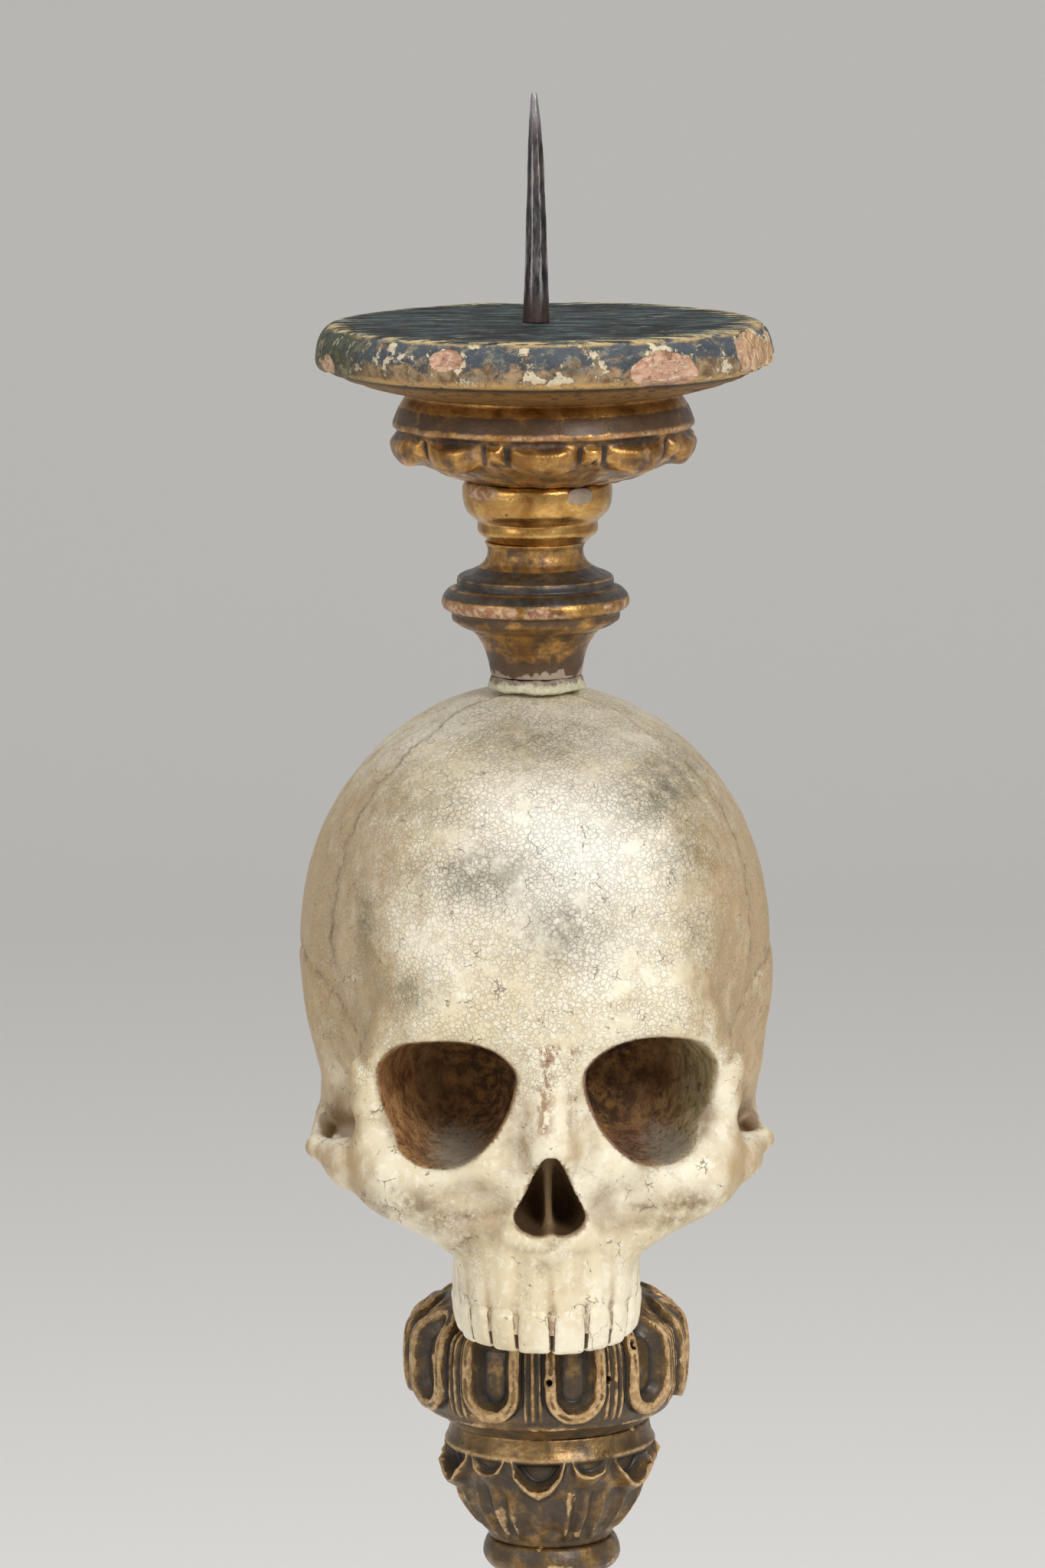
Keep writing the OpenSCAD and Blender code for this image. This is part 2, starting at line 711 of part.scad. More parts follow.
module baluster() {
    color("saddlebrown")
        difference() {
            union() {
                translate([0, 0, baluster_z])
                    turned(baluster_shares, baluster_d / 2, baluster_h);
                tenon(tenon_d, baluster_z - foot_tenon_l, baluster_z + overrun);
            }
            bore(slim_tenon_d, vase_z - long_tenon_l - end_gap, knop_z + overrun);
        }
}

module lower_ring() {
    color("darkgoldenrod")
        difference() {
            translate([0, 0, lower_ring_z])
                turned(lower_ring_shares, lower_ring_d / 2, lower_ring_h);
            bore(tenon_d, lower_ring_z - overrun, baluster_z + overrun);
        }
}

module pedestal_cap() {
    color("saddlebrown")
        difference() {
            translate([0, 0, cap_z])
                turned(cap_shares, cap_d / 2, cap_h);
            bore(tenon_d, cap_z - overrun, lower_ring_z + overrun);
        }
}

// Radius of the pedestal: nearly round at its top, three sided at its foot
function pedestal_radius(angle, v) =
    let (blend = lookup(v, plan_blend_shares))
    pedestal_reach * lookup(v, pedestal_shares) * (corner_share * (1 - blend) + three_sided(angle) * blend);

// Points around the pedestal at a height share
function pedestal_row(v) = [
    for (i = [0 : pedestal_columns - 1])
        let (a = 360 * i / pedestal_columns, r = pedestal_radius(a, v))
        [r * cos(a), r * sin(a), pedestal_h * v]
];

module pedestal() {
    color("darkgoldenrod")
        difference() {
            translate([0, 0, pedestal_z])
                skin([for (j = [0 : pedestal_rows]) pedestal_row(j / pedestal_rows)]);
            bore(tenon_d, cap_z - tenon_l - end_gap, cap_z + overrun);
            bore(dowel_d, pedestal_z - overrun, base_dowel_z + dowel_l + end_gap);
        }
}

module base_dowel() {
    color("burlywood")
        tenon(dowel_d, base_dowel_z, base_dowel_z + dowel_l);
}

// Places a piece under each corner of the base
module at_corner(turn) {
    rotate(turn)
        translate([foot_reach, 0, 0])
            children();
}

module plinth() {
    color("saddlebrown")
        difference() {
            for (s = plinth_step_shares)
                translate([0, 0, plinth_z + s[0] * plinth_h])
                    linear_extrude(height = (s[1] - s[0]) * plinth_h)
                        polygon(plan(plinth_reach * s[2]));
            bore(dowel_d, plinth_z - overrun, pedestal_z + overrun);
            for (i = [0 : 2])
                at_corner(back_angle + i * corner_angle)
                    bore(peg_d, plinth_z - overrun, foot_h - peg_half + peg_l + end_gap);
        }
}

// A bun foot with the bore for its dowel
module bun_foot() {
    difference() {
        turned(foot_shares, foot_d / 2, foot_h);
        bore(peg_d, foot_h - peg_half - end_gap, foot_h + overrun);
    }
}

// The dowel of a foot, half of it in the plinth
module foot_peg() {
    tenon(peg_d, foot_h - peg_half, foot_h - peg_half + peg_l);
}

module foot_left() {
    color("sienna") at_corner(back_angle + corner_angle) bun_foot();
}

module foot_right() {
    color("sienna") at_corner(back_angle - corner_angle) bun_foot();
}

module foot_back() {
    color("sienna") at_corner(back_angle) bun_foot();
}

module peg_left() {
    color("burlywood") at_corner(back_angle + corner_angle) foot_peg();
}

module peg_right() {
    color("burlywood") at_corner(back_angle - corner_angle) foot_peg();
}

module peg_back() {
    color("burlywood") at_corner(back_angle) foot_peg();
}

pricket();
drip_pan();
pan_collar();
neck_bulb();
neck_ring();
filler_bead();
neck_dowel();
skull();
cup_dowel();
gadroon_cup();
leaf_vase();
ring_knop();
baluster();
lower_ring();
pedestal_cap();
pedestal();
base_dowel();
plinth();
foot_left();
foot_right();
foot_back();
peg_left();
peg_right();
peg_back();
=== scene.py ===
import math
import time

import bpy
import numpy as np
from mathutils import Matrix, Vector


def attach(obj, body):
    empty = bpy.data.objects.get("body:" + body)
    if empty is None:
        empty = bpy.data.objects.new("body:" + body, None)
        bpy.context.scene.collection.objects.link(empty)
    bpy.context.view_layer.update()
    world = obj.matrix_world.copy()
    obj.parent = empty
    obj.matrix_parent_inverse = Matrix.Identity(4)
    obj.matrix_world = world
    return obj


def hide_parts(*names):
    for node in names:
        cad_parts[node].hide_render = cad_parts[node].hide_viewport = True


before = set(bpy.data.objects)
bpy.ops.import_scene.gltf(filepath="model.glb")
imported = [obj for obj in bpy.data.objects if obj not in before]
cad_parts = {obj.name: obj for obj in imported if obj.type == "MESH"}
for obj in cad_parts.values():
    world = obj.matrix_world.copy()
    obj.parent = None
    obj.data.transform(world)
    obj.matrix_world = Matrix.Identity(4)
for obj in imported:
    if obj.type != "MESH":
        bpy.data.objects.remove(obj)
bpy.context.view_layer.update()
started = time.time()

mm = 0.001      # shapes are worked out in millimetres and put into the mesh in metres
# Rows of a profile that rise by less than this share of a step are level, and one in so many is kept
levelShare, levelRows = 0.02, 6


# Says which stage is done, and when.
def report(stage):
    print(f"{stage}, {time.time() - started:.0f} s")


# Goes from 0 at low to 1 at high, flat at both ends.
def ease(low, high, x):
    t = np.clip((x - low) / (high - low), 0.0, 1.0)
    return t * t * (3 - 2 * t)


# A hump of height 1 at zero that has fallen to a third at one width.
def hump(x, width):
    return np.exp(-(x / width) ** 2)


lattice = np.random.default_rng(1702).random((8, 32, 32, 32)).astype(np.float32) * 2 - 1


# Random numbers from -1 to 1 at the corners of cubic cells of this size, eased between the
# corners. Each seed has its own numbers.
def grain(x, y, z, cell, seed=0):
    box = lattice[seed % 8]
    q = [np.asarray(v, np.float32) / cell + 7.3 * seed for v in (x, y, z)]
    low = [np.floor(v).astype(np.int64) for v in q]
    part = [v - n for v, n in zip(q, low)]
    part = [t * t * (3 - 2 * t) for t in part]
    total = 0
    for i in (0, 1):
        for j in (0, 1):
            for k in (0, 1):
                weight = 1
                for t, n in zip(part, (i, j, k)):
                    weight = weight * (t if n else 1 - t)
                total = total + weight * box[(low[0] + i) % 32, (low[1] + j) % 32, (low[2] + k) % 32]
    return total


# Three grains, each half the size and half as strong as the one before.
def roughGrain(x, y, z, cell, seed=0):
    return sum(grain(x, y, z, cell / 2 ** i, seed + i) / 2 ** i for i in range(3)) / 1.75


# Rough grain on a round surface of this radius.
def ringGrain(radius, turn, z, cell, seed):
    return roughGrain(radius * np.sin(turn), -radius * np.cos(turn), z, cell, seed)


# Unit normals at the points: the sum of the turned diagonals of each face round a point.
def pointNormals(points, quads, triangles):
    total = np.zeros_like(points)
    for faces, (a, b, c, d) in ((quads, (0, 2, 1, 3)), (triangles, (0, 1, 0, 2))):
        if len(faces):
            across = np.cross(points[faces[:, b]] - points[faces[:, a]],
                              points[faces[:, d]] - points[faces[:, c]])
            for corner in range(faces.shape[1]):
                for k in range(3):
                    total[:, k] += np.bincount(faces[:, corner], across[:, k], len(points))
    return total / np.maximum(np.linalg.norm(total, axis=1, keepdims=True), 1e-12)


# How far each point stands out of its blurred surroundings in millimetres: above zero on edges
# and below zero in grooves. A round of blurring moves each point half way to its neighbours.
def standOut(points, quads, triangles, rounds):
    corners = [(quads[:, i], quads[:, (i + 1) % 4]) for i in range(4)]
    corners += [(triangles[:, i], triangles[:, (i + 1) % 3]) for i in range(3)]
    a = np.concatenate([p for p, q in corners])
    b = np.concatenate([q for p, q in corners])
    count = np.maximum(np.bincount(a, minlength=len(points)), 1)[:, None]
    soft = points
    for _ in range(rounds):
        near = np.stack([np.bincount(a, soft[b, k], len(points)) for k in range(3)], 1)
        soft = (soft + near / count) / 2
    return ((points - soft) * pointNormals(points, quads, triangles)).sum(1)


# Puts points in millimetres and faces with four or three corners into a mesh, with marks that
# hold one number for each point, and lets the piece stand for its nodes.
def makePiece(name, points, quads, triangles, material, nodes, marks):
    mesh = bpy.data.meshes.new(name)
    mesh.vertices.add(len(points))
    mesh.vertices.foreach_set("co", (points * mm).astype(np.float32).ravel())
    corners = np.concatenate([quads.ravel(), triangles.ravel()]).astype(np.int32)
    starts = np.concatenate([np.arange(len(quads)) * 4,
                             len(quads) * 4 + np.arange(len(triangles)) * 3]).astype(np.int32)
    mesh.loops.add(len(corners))
    mesh.loops.foreach_set("vertex_index", corners)
    mesh.polygons.add(len(starts))
    mesh.polygons.foreach_set("loop_start", starts)
    mesh.update(calc_edges=True)
    mesh.validate()
    mesh.shade_smooth()
    for key, values in marks.items():
        mark = mesh.attributes.new(key, "FLOAT", "POINT")
        mark.data.foreach_set("value", values.astype(np.float32))
    mesh.materials.append(material)
    piece = bpy.data.objects.new(name, mesh)
    bpy.context.scene.collection.objects.link(piece)
    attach(piece, "root")
    if nodes:
        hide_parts(*nodes)
    report(f"{name}: {len(quads) * 2 + len(triangles)} triangles")


# Faces of a grid of rows and columns that closes round its columns, with a pole at each end.
# The rows come first in the list of points, then the lower pole and the upper one.
def gridFaces(rows, columns):
    j, i = np.meshgrid(np.arange(rows - 1), np.arange(columns), indexing="ij")
    here, right = j * columns + i, j * columns + (i + 1) % columns
    quads = np.stack([here, right, right + columns, here + columns], -1).reshape(-1, 4)
    i = np.arange(columns)
    beside, last = (i + 1) % columns, (rows - 1) * columns
    low, high = np.full(columns, rows * columns), np.full(columns, rows * columns + 1)
    triangles = np.concatenate([np.stack([low, beside, i], -1),
                                np.stack([high, last + i, last + beside], -1)])
    return quads, triangles


# Turns all the way round in this many columns, with a row for each of the values.
def roundGrid(columns, values):
    return np.meshgrid(np.linspace(0, 2 * math.pi, columns, endpoint=False), values)


# A profile read at even steps of its own length and blurred a little, so that its edges are as
# round as worn carving. The blur mirrors the profile beyond both ends, which keeps them. Level
# stretches are thinned, apart from the rows beside an edge.
def evenProfile(profile, step, soften):
    p = np.array(profile, float)
    run = np.concatenate([[0], np.cumsum(np.hypot(*np.diff(p, axis=0).T))])
    s = np.linspace(0, run[-1], int(run[-1] / step) + 1)
    reach = int(math.ceil(3 * soften / step))
    weights = hump(np.arange(-reach, reach + 1) * step, soften * 1.41)
    weights /= weights.sum()
    out = []
    for k in range(2):
        v = np.interp(s, run, p[:, k])
        v = np.concatenate([2 * v[0] - v[reach:0:-1], v, 2 * v[-1] - v[-2:-reach - 2:-1]])
        out.append(np.convolve(v, weights, "valid"))
    sloped = np.convolve(np.abs(np.gradient(out[1])) > levelShare * step, np.ones(9), "same") > 0
    keep = sloped | (np.arange(len(s)) % levelRows == 0)
    keep[[0, -1]] = True
    return np.maximum(out[0], 0.3)[keep], out[1][keep]


# What the carver's hand leaves on a surface: slow waves, and weaker ones that are quicker.
def handWork(look, x, y, z):
    return look["uneven"] * (grain(x, y, z, 14, 1) + 0.4 * grain(x, y, z, 4, 2))


# A turned surface: each point of the profile goes round the stem's axis, pushed out by
# relief(turn, height) along the profile's own normal. Turn 0 is the front and grows to the right.
def turnedPoints(look, relief=None):
    radius, height = evenProfile(look["profile"], look["step"], look["soften"])
    slopeR, slopeZ = np.gradient(radius), np.gradient(height)
    length = np.hypot(slopeR, slopeZ)
    turn, outR = roundGrid(look["columns"], slopeZ / length)
    r, z = radius[:, None] + 0 * turn, height[:, None] + 0 * turn
    outZ = -slopeR[:, None] / length[:, None]
    x, y = r * np.sin(turn), -r * np.cos(turn)
    push = handWork(look, x, y, z) + (relief(turn, z) if relief else 0)
    push = push * ease(2, 8, r)
    r, z = r + outR * push, z + outZ * push
    rows = np.stack([r * np.sin(turn), -r * np.cos(turn), z], -1)
    ends = np.array([[0, 0, z[0].mean()], [0, 0, z[-1].mean()]])
    points = np.concatenate([rows.reshape(-1, 3), ends])
    return points, turn, z


# A turned piece: its surface, its wear and its marks, set beside the stem's axis by its shift.
def turnedPiece(name, look, material, node, relief=None, marks=None):
    points, turn, z = turnedPoints(look, relief)
    quads, triangles = gridFaces(*turn.shape)
    found = {"wear": standOut(points, quads, triangles, look["blurRounds"])}
    for key, values in (marks(turn, z) if marks else {}).items():
        found[key] = np.concatenate([values.ravel(), [0, 0]])
    points[:, :2] += look.get("shift", (0, 0))
    makePiece(name, points, quads, triangles, material, [node], found)


# Share of the way round one of n repeats, from -1/2 to 1/2, with 0 in the middle of the repeat
# that is this many degrees to the right of the front.
def within(turn, n, first=0.0):
    t = (turn - math.radians(first)) * n / (2 * math.pi)
    return t - np.round(t)


# Angle from this many degrees right of the front, from half a turn below zero to half a turn above.
def sideOf(turn, degrees=0.0):
    return np.angle(np.exp(1j * (turn - math.radians(degrees))))


# Colour as eyes read it, 0 to 255, to the values that the shader wants.
def tint(r, g, b):
    return tuple(((c / 255 + 0.055) / 1.055) ** 2.4 if c > 10 else c / 3295 for c in (r, g, b)) + (1.0,)


# Nodes go into the material that was started last.
current = {}


# A new node: sockets given as inputs are linked, and other values are set on it.
def addNode(kind, inputs=None, **settings):
    tree = current["tree"]
    made = tree.nodes.new("ShaderNode" + kind)
    for key, value in settings.items():
        setattr(made, key, value)
    for key, value in (inputs or {}).items():
        if isinstance(value, bpy.types.NodeSocket):
            tree.links.new(value, made.inputs[key])
        else:
            made.inputs[key].default_value = value
    return made


# One step of arithmetic with sockets or numbers, kept from 0 to 1 if clamp is set.
def calc(operation, a, b=0.0, c=0.0, clamp=False):
    return addNode("Math", {0: a, 1: b, 2: c}, operation=operation, use_clamp=clamp).outputs[0]


# a times b.
def times(a, b):
    return calc("MULTIPLY", a, b)


# a times b plus c.
def timesPlus(a, b, c, **settings):
    return calc("MULTIPLY_ADD", a, b, c, **settings)


# What is left of one: 1 - a.
def rest(a, **settings):
    return calc("SUBTRACT", 1.0, a, **settings)


# 0 where value is at low, 1 where it is at high, eased between.
def between(value, low, high):
    return addNode("MapRange", {"Value": value, "From Min": low, "From Max": high},
                   interpolation_type="SMOOTHSTEP").outputs[0]


# The first where the factor is 0, the second where it is 1.
def blendColour(factor, first, second):
    return addNode("Mix", {0: factor, 6: first, 7: second}, data_type="RGBA").outputs[2]


# The same for values.
def blendValue(factor, first, second):
    return addNode("Mix", {0: factor, 2: first, 3: second}).outputs[0]


# A layer of paint over a colour: it covers by its share where the amount is 1.
def layer(under, amount, share, over):
    return blendColour(times(amount, share), under, over)


# The mark of this name that the mesh carries, and 0 where it has none.
def marked(key):
    return addNode("Attribute", attribute_name=key).outputs["Fac"]


# Object coordinates in units of this many millimetres, stretched along the axes if wanted.
def placed(size, stretch=(1, 1, 1), shift=(0, 0, 0)):
    point = addNode("TexCoord").outputs["Object"]
    return addNode("Mapping", {"Vector": point, "Location": shift,
                               "Scale": [1000 / size / s for s in stretch]}).outputs[0]


# Cloudy noise from 0 to 1 whose clouds are about this many millimetres wide.
def noiseOf(size, detail=3.0, rough=0.55, stretch=(1, 1, 1), shift=(0, 0, 0), warp=0.0):
    return addNode("TexNoise", {"Vector": placed(size, stretch, shift), "Scale": 1.0, "Detail": detail,
                                "Roughness": rough, "Distortion": warp}).outputs["Fac"]


# Noise cut to patches: 0 where it is below low, 1 where it is above high.
def patchy(low, high, *noise, **noiseSettings):
    return between(noiseOf(*noise, **noiseSettings), low, high)


# A value with a torn edge: noise about zero, this strong, is added to it.
def frayed(value, amount, *noise, **noiseSettings):
    return timesPlus(calc("SUBTRACT", noiseOf(*noise, **noiseSettings), 0.5), amount, value)


# Height over the table in millimetres.
def heightHere():
    return addNode("SeparateXYZ", {0: placed(1)}).outputs[2]


# A material and its shader, whose nodes the functions above add from now on.
def startMaterial(name):
    material = bpy.data.materials.new(name)
    material.use_nodes = True
    current["tree"] = material.node_tree
    return material, material.node_tree.nodes["Principled BSDF"]


# Puts the last colour and values into the shader, with bumps as deep as this in millimetres.
def finishMaterial(shader, colour, metal, rough, height, bumpDepth):
    tree = current["tree"]
    tree.links.new(colour, shader.inputs["Base Color"])
    if isinstance(metal, bpy.types.NodeSocket):
        tree.links.new(metal, shader.inputs["Metallic"])
    else:
        shader.inputs["Metallic"].default_value = metal
    tree.links.new(rough, shader.inputs["Roughness"])
    bump = addNode("Bump", {"Height": height, "Strength": 1.0, "Distance": bumpDepth * mm})
    tree.links.new(bump.outputs["Normal"], shader.inputs["Normal"])


# Old gilding: gold in light and dark clouds, a brown patina that is thick in grooves, black
# in the deepest of them, and bole or wood bare on edges that hands have rubbed.
def giltMaterial(name, look):
    material, shader = startMaterial(name)
    wear = marked("wear")
    clouds = noiseOf(look["cloudSize"], 4, 0.6, warp=0.6)
    gold = blendColour(between(clouds, 0.3, 0.7), look["goldDark"], look["goldLight"])
    fine = noiseOf(1.1, 4, 0.65, stretch=(1.6, 1.6, 0.8))
    gold = blendColour(between(fine, 0.45, 0.75), gold, look["goldRed"])
    # patina where the clouds are dark, in grooves, and where the shade mark adds to it: that is real
    # patina on most pieces, and painted shade in the collar's scoops and in the hollow over the vase's leaves
    thick = timesPlus(wear, -look["grooveDirt"], noiseOf(look["patinaSize"], 5, 0.62, shift=(3, 1, 2)))
    thick = calc("ADD", calc("ADD", thick, look["patina"]), marked("shade"))
    patina = between(thick, 0.42, 0.68)
    patinaColour = blendColour(noiseOf(3.0, 4), look["patinaDark"], look["patinaLight"])
    colour = blendColour(times(patina, 0.93), gold, patinaColour)
    black = between(timesPlus(wear, -2.6, noiseOf(2.2, 4, shift=(5, 2, 0))), 0.78, 1.25)
    colour = layer(colour, black, 0.85, look["deepColour"])
    # small dark spots
    spots = patchy(0.66, 0.74, 2.4, 3, 0.7, shift=(9, 4, 7))
    colour = layer(colour, spots, look["spots"], look["deepColour"])
    colour = blendColour(marked("hole"), colour, tint(12, 9, 7))
    # bare bole and gesso on rubbed edges
    places = noiseOf(11, 4, 0.6, shift=(4, 4, 9))
    chance = timesPlus(places, look["edgeChance"], noiseOf(2.8, 5, 0.7, shift=(1, 8, 3)))
    rub = timesPlus(wear, look["edgeRub"], calc("SUBTRACT", chance, look["edgeChance"] / 2))
    rub = calc("MAXIMUM", between(rub, 0.86, 1.02), marked("bare"))
    bareColour = blendColour(patchy(0.4, 0.62, 1.6, 4, 0.6, shift=(2, 2, 9)),
                             look["boleColour"], look["gessoColour"])
    colour = layer(colour, rub, look["bareAmount"], bareColour)
    dull = calc("MAXIMUM", times(patina, look["patinaDull"]), rub, clamp=True)
    metal = times(rest(dull, clamp=True), look["metal"])
    rough = blendValue(dull, look["shine"], look["dullRough"])
    rough = timesPlus(calc("SUBTRACT", fine, 0.5), 0.25, rough, clamp=True)
    height = timesPlus(noiseOf(0.7, 4, 0.6), 0.35, times(clouds, 0.5))
    height = timesPlus(rub, -0.35, height)
    finishMaterial(shader, colour, metal, rough, height, look["bumpDepth"])
    shader.inputs["Coat Weight"].default_value = look["varnish"]
    shader.inputs["Coat Roughness"].default_value = 0.3
    return material


bronzed = {
    "goldDark": tint(128, 88, 40), "goldLight": tint(212, 164, 92), "goldRed": tint(158, 106, 58),
    "patinaDark": tint(34, 24, 16), "patinaLight": tint(92, 64, 40), "deepColour": tint(20, 14, 10),
    "boleColour": tint(150, 96, 72), "gessoColour": tint(206, 178, 142), "cloudSize": 7.0, "patinaSize": 5.5,
    "patina": 0.03, "grooveDirt": 0.75, "edgeRub": 1.1, "edgeChance": 0.9, "bareAmount": 0.8, "spots": 0.7,
    "metal": 0.85, "shine": 0.34, "dullRough": 0.52, "patinaDull": 0.75, "bumpDepth": 0.35, "varnish": 0.15,
}
burnished = dict(bronzed, goldDark=tint(150, 104, 48), goldLight=tint(226, 182, 108),
                 goldRed=tint(186, 130, 66), patina=-0.14, shine=0.24, spots=0.55, cloudSize=9.0, metal=0.92,
                 bumpDepth=0.18)
darkGilt = dict(bronzed, goldDark=tint(84, 64, 38), goldLight=tint(168, 134, 84), goldRed=tint(120, 86, 50),
                patinaDark=tint(30, 25, 19), patinaLight=tint(86, 70, 50), boleColour=tint(172, 134, 86),
                gessoColour=tint(216, 182, 130), patina=0.1, edgeRub=1.7, edgeChance=2.6, shine=0.36,
                varnish=0.25)


# Bare wood: rings of grain stretched along the stem.
def woodMaterial():
    material, shader = startMaterial("bareWood")
    streak = noiseOf(1.5, 4, 0.6, stretch=(1, 1, 12))
    colour = blendColour(between(streak, 0.35, 0.65), tint(176, 136, 90), tint(206, 170, 122))
    finishMaterial(shader, colour, 0.0, blendValue(streak, 0.6, 0.75), streak, 0.2)
    return material


spikeLook = {
    "base": 552.0, "height": 59.0, "sides": 8, "columns": 64, "rows": 190, "hammer": 0.16, "blurRounds": 12,
    "aside": -0.7, "sway": 0.25, "swayHeight": 17, "brightFrom": 46, "brightTo": 58,
    "widths": [[0, 3.45], [4, 3.35], [10, 3.1], [25, 2.65], [40, 2.1], [48, 1.7], [52, 1.5], [55, 1.15],
               [57.5, 0.95], [59, 0.7]],
}


# Dark forged iron: hammered grey-brown, streaked along its length, bright where it is rubbed.
def ironMaterial():
    material, shader = startMaterial("wroughtIron")
    streak = noiseOf(1.3, 5, 0.65, stretch=(1, 1, 6))
    rust = patchy(0.45, 0.68, 3.5, 5, 0.7, stretch=(1, 1, 2.5), shift=(4, 4, 1))
    wear = marked("wear")
    tip = marked("tip")
    colour = blendColour(between(streak, 0.35, 0.7), tint(36, 33, 32), tint(96, 92, 92))
    colour = layer(colour, rust, 0.7, tint(66, 46, 38))
    rub = between(timesPlus(wear, 3.5, streak), 0.6, 0.95)
    root = between(heightHere(), 564.0, 553.0)
    rub = times(calc("MAXIMUM", rub, times(tip, 0.8)), rest(root))
    colour = blendColour(rub, colour, tint(160, 156, 156))
    colour = layer(colour, root, 0.7, tint(58, 36, 28))
    metal = blendValue(calc("MAXIMUM", rust, root), 0.7, 0.2)
    rough = blendValue(rub, 0.5, 0.32)
    height = timesPlus(noiseOf(0.6, 4, 0.6, stretch=(1, 1, 2)), 0.5, streak)
    finishMaterial(shader, colour, metal, rough, height, 0.18)
    return material


# The spike: eight flats whose half width falls along the height. Each hammer blow leaves a
# shallow flat, from grains that are longer than they are wide.
def makeSpike():
    look = spikeLook
    rise = np.linspace(0, look["height"], look["rows"])
    turn, z = roundGrid(look["columns"], rise)
    half = np.interp(z, *np.array(look["widths"]).T)
    flat = within(turn, look["sides"]) * 2 * math.pi / look["sides"]
    r = half * (0.25 + 0.75 / np.cos(flat))
    r = r + look["hammer"] * ringGrain(r, turn, z / 3, 2.2, 3) * ease(0, 6, look["height"] - z)
    x = r * np.sin(turn) + look["sway"] * np.sin(z / look["swayHeight"]) + look["aside"]
    points = np.stack([x, -r * np.cos(turn), z + look["base"]], -1).reshape(-1, 3)
    foot, top = [0, 0, look["base"]], [x[-1].mean(), 0, look["base"] + look["height"] + 0.3]
    points = np.concatenate([points, [foot, top]])
    quads, triangles = gridFaces(*turn.shape)
    marks = {"wear": standOut(points, quads, triangles, look["blurRounds"]),
             "tip": ease(look["brightFrom"], look["brightTo"], points[:, 2] - look["base"])}
    makePiece("spike", points, quads, triangles, ironMaterial(), ["pricket"], marks)


panLook = {
    "profile": [[0, 534.3], [37.8, 534.3], [41.7, 535.1], [45.3, 536], [48, 536.9], [49.5, 537.6],
                [52.4, 538.9], [55.9, 539.9], [57.7, 540.4], [58.7, 541], [59.4, 542.3], [59.5, 543.4],
                [59.2, 546], [58.8, 547.6], [58, 549.2], [57, 550.6], [56, 551.5], [54.6, 552], [52, 552.05],
                [30, 551.9], [0, 551.9]],
    "step": 0.42, "soften": 0.45, "columns": 560, "uneven": 0.22, "blurRounds": 14, "shift": (1.6, 0),
    "rim": 58,
    # turn in degrees, height, half width and half height in mm, depth and how bare the place is
    "chips": [[31, 544, 9.5, 4.6, 0.5, 1.0], [-26, 547.4, 4.4, 2.5, 0.5, 0.9], [66, 546, 8, 6, 1.3, 0.9],
              [76, 543, 8, 5, 1.7, 1.0], [86, 546, 8, 6, 1.1, 0.9], [-72, 543, 5, 3, 0.6, 0.5],
              [150, 544, 9, 4, 0.9, 0.9], [-140, 546, 7, 4, 1.0, 0.8]],
}


# Depth of the chips at a place: each is an oval with a torn edge, and none reaches the top.
def panChips(turn, z, column):
    total = 0
    for degrees, height, wide, high, depth, bare in panLook["chips"]:
        away = (sideOf(turn, degrees) * panLook["rim"] / wide) ** 2 + ((z - height) / high) ** 2
        torn = 0.35 * ringGrain(panLook["rim"], turn, z, 5, 4)
        total = np.maximum(total, ease(1.15, 0.85, np.sqrt(away) + torn) * (depth if column == 0 else bare))
    return total * ease(551.7, 550.8, z)


# Chips, flaked paint, and turned lines under the rim: a groove, a thin bead and a groove.
def panRelief(turn, z):
    flakes = ease(0.1, 0.3, ringGrain(panLook["rim"], turn, z * 1.6, 6, 5)) * 0.3
    lines = -0.6 * hump(z - 540.25, 0.3) + 0.4 * hump(z - 538.4, 0.6) - 0.4 * hump(z - 537.2, 0.3)
    return lines - panChips(turn, z, 0) - flakes * ease(539, 541, z) * ease(551.7, 550.8, z)


# Marks of the pan: bare in the chips, broken wood at the right, green-grey paint at the left.
def panMarks(turn, z):
    side = np.degrees(sideOf(turn))
    return {"bare": panChips(turn, z, 1), "broken": ease(56, 66, side) * ease(108, 96, side),
            "green": ease(-44, -66, side) * ease(-150, -110, side)}
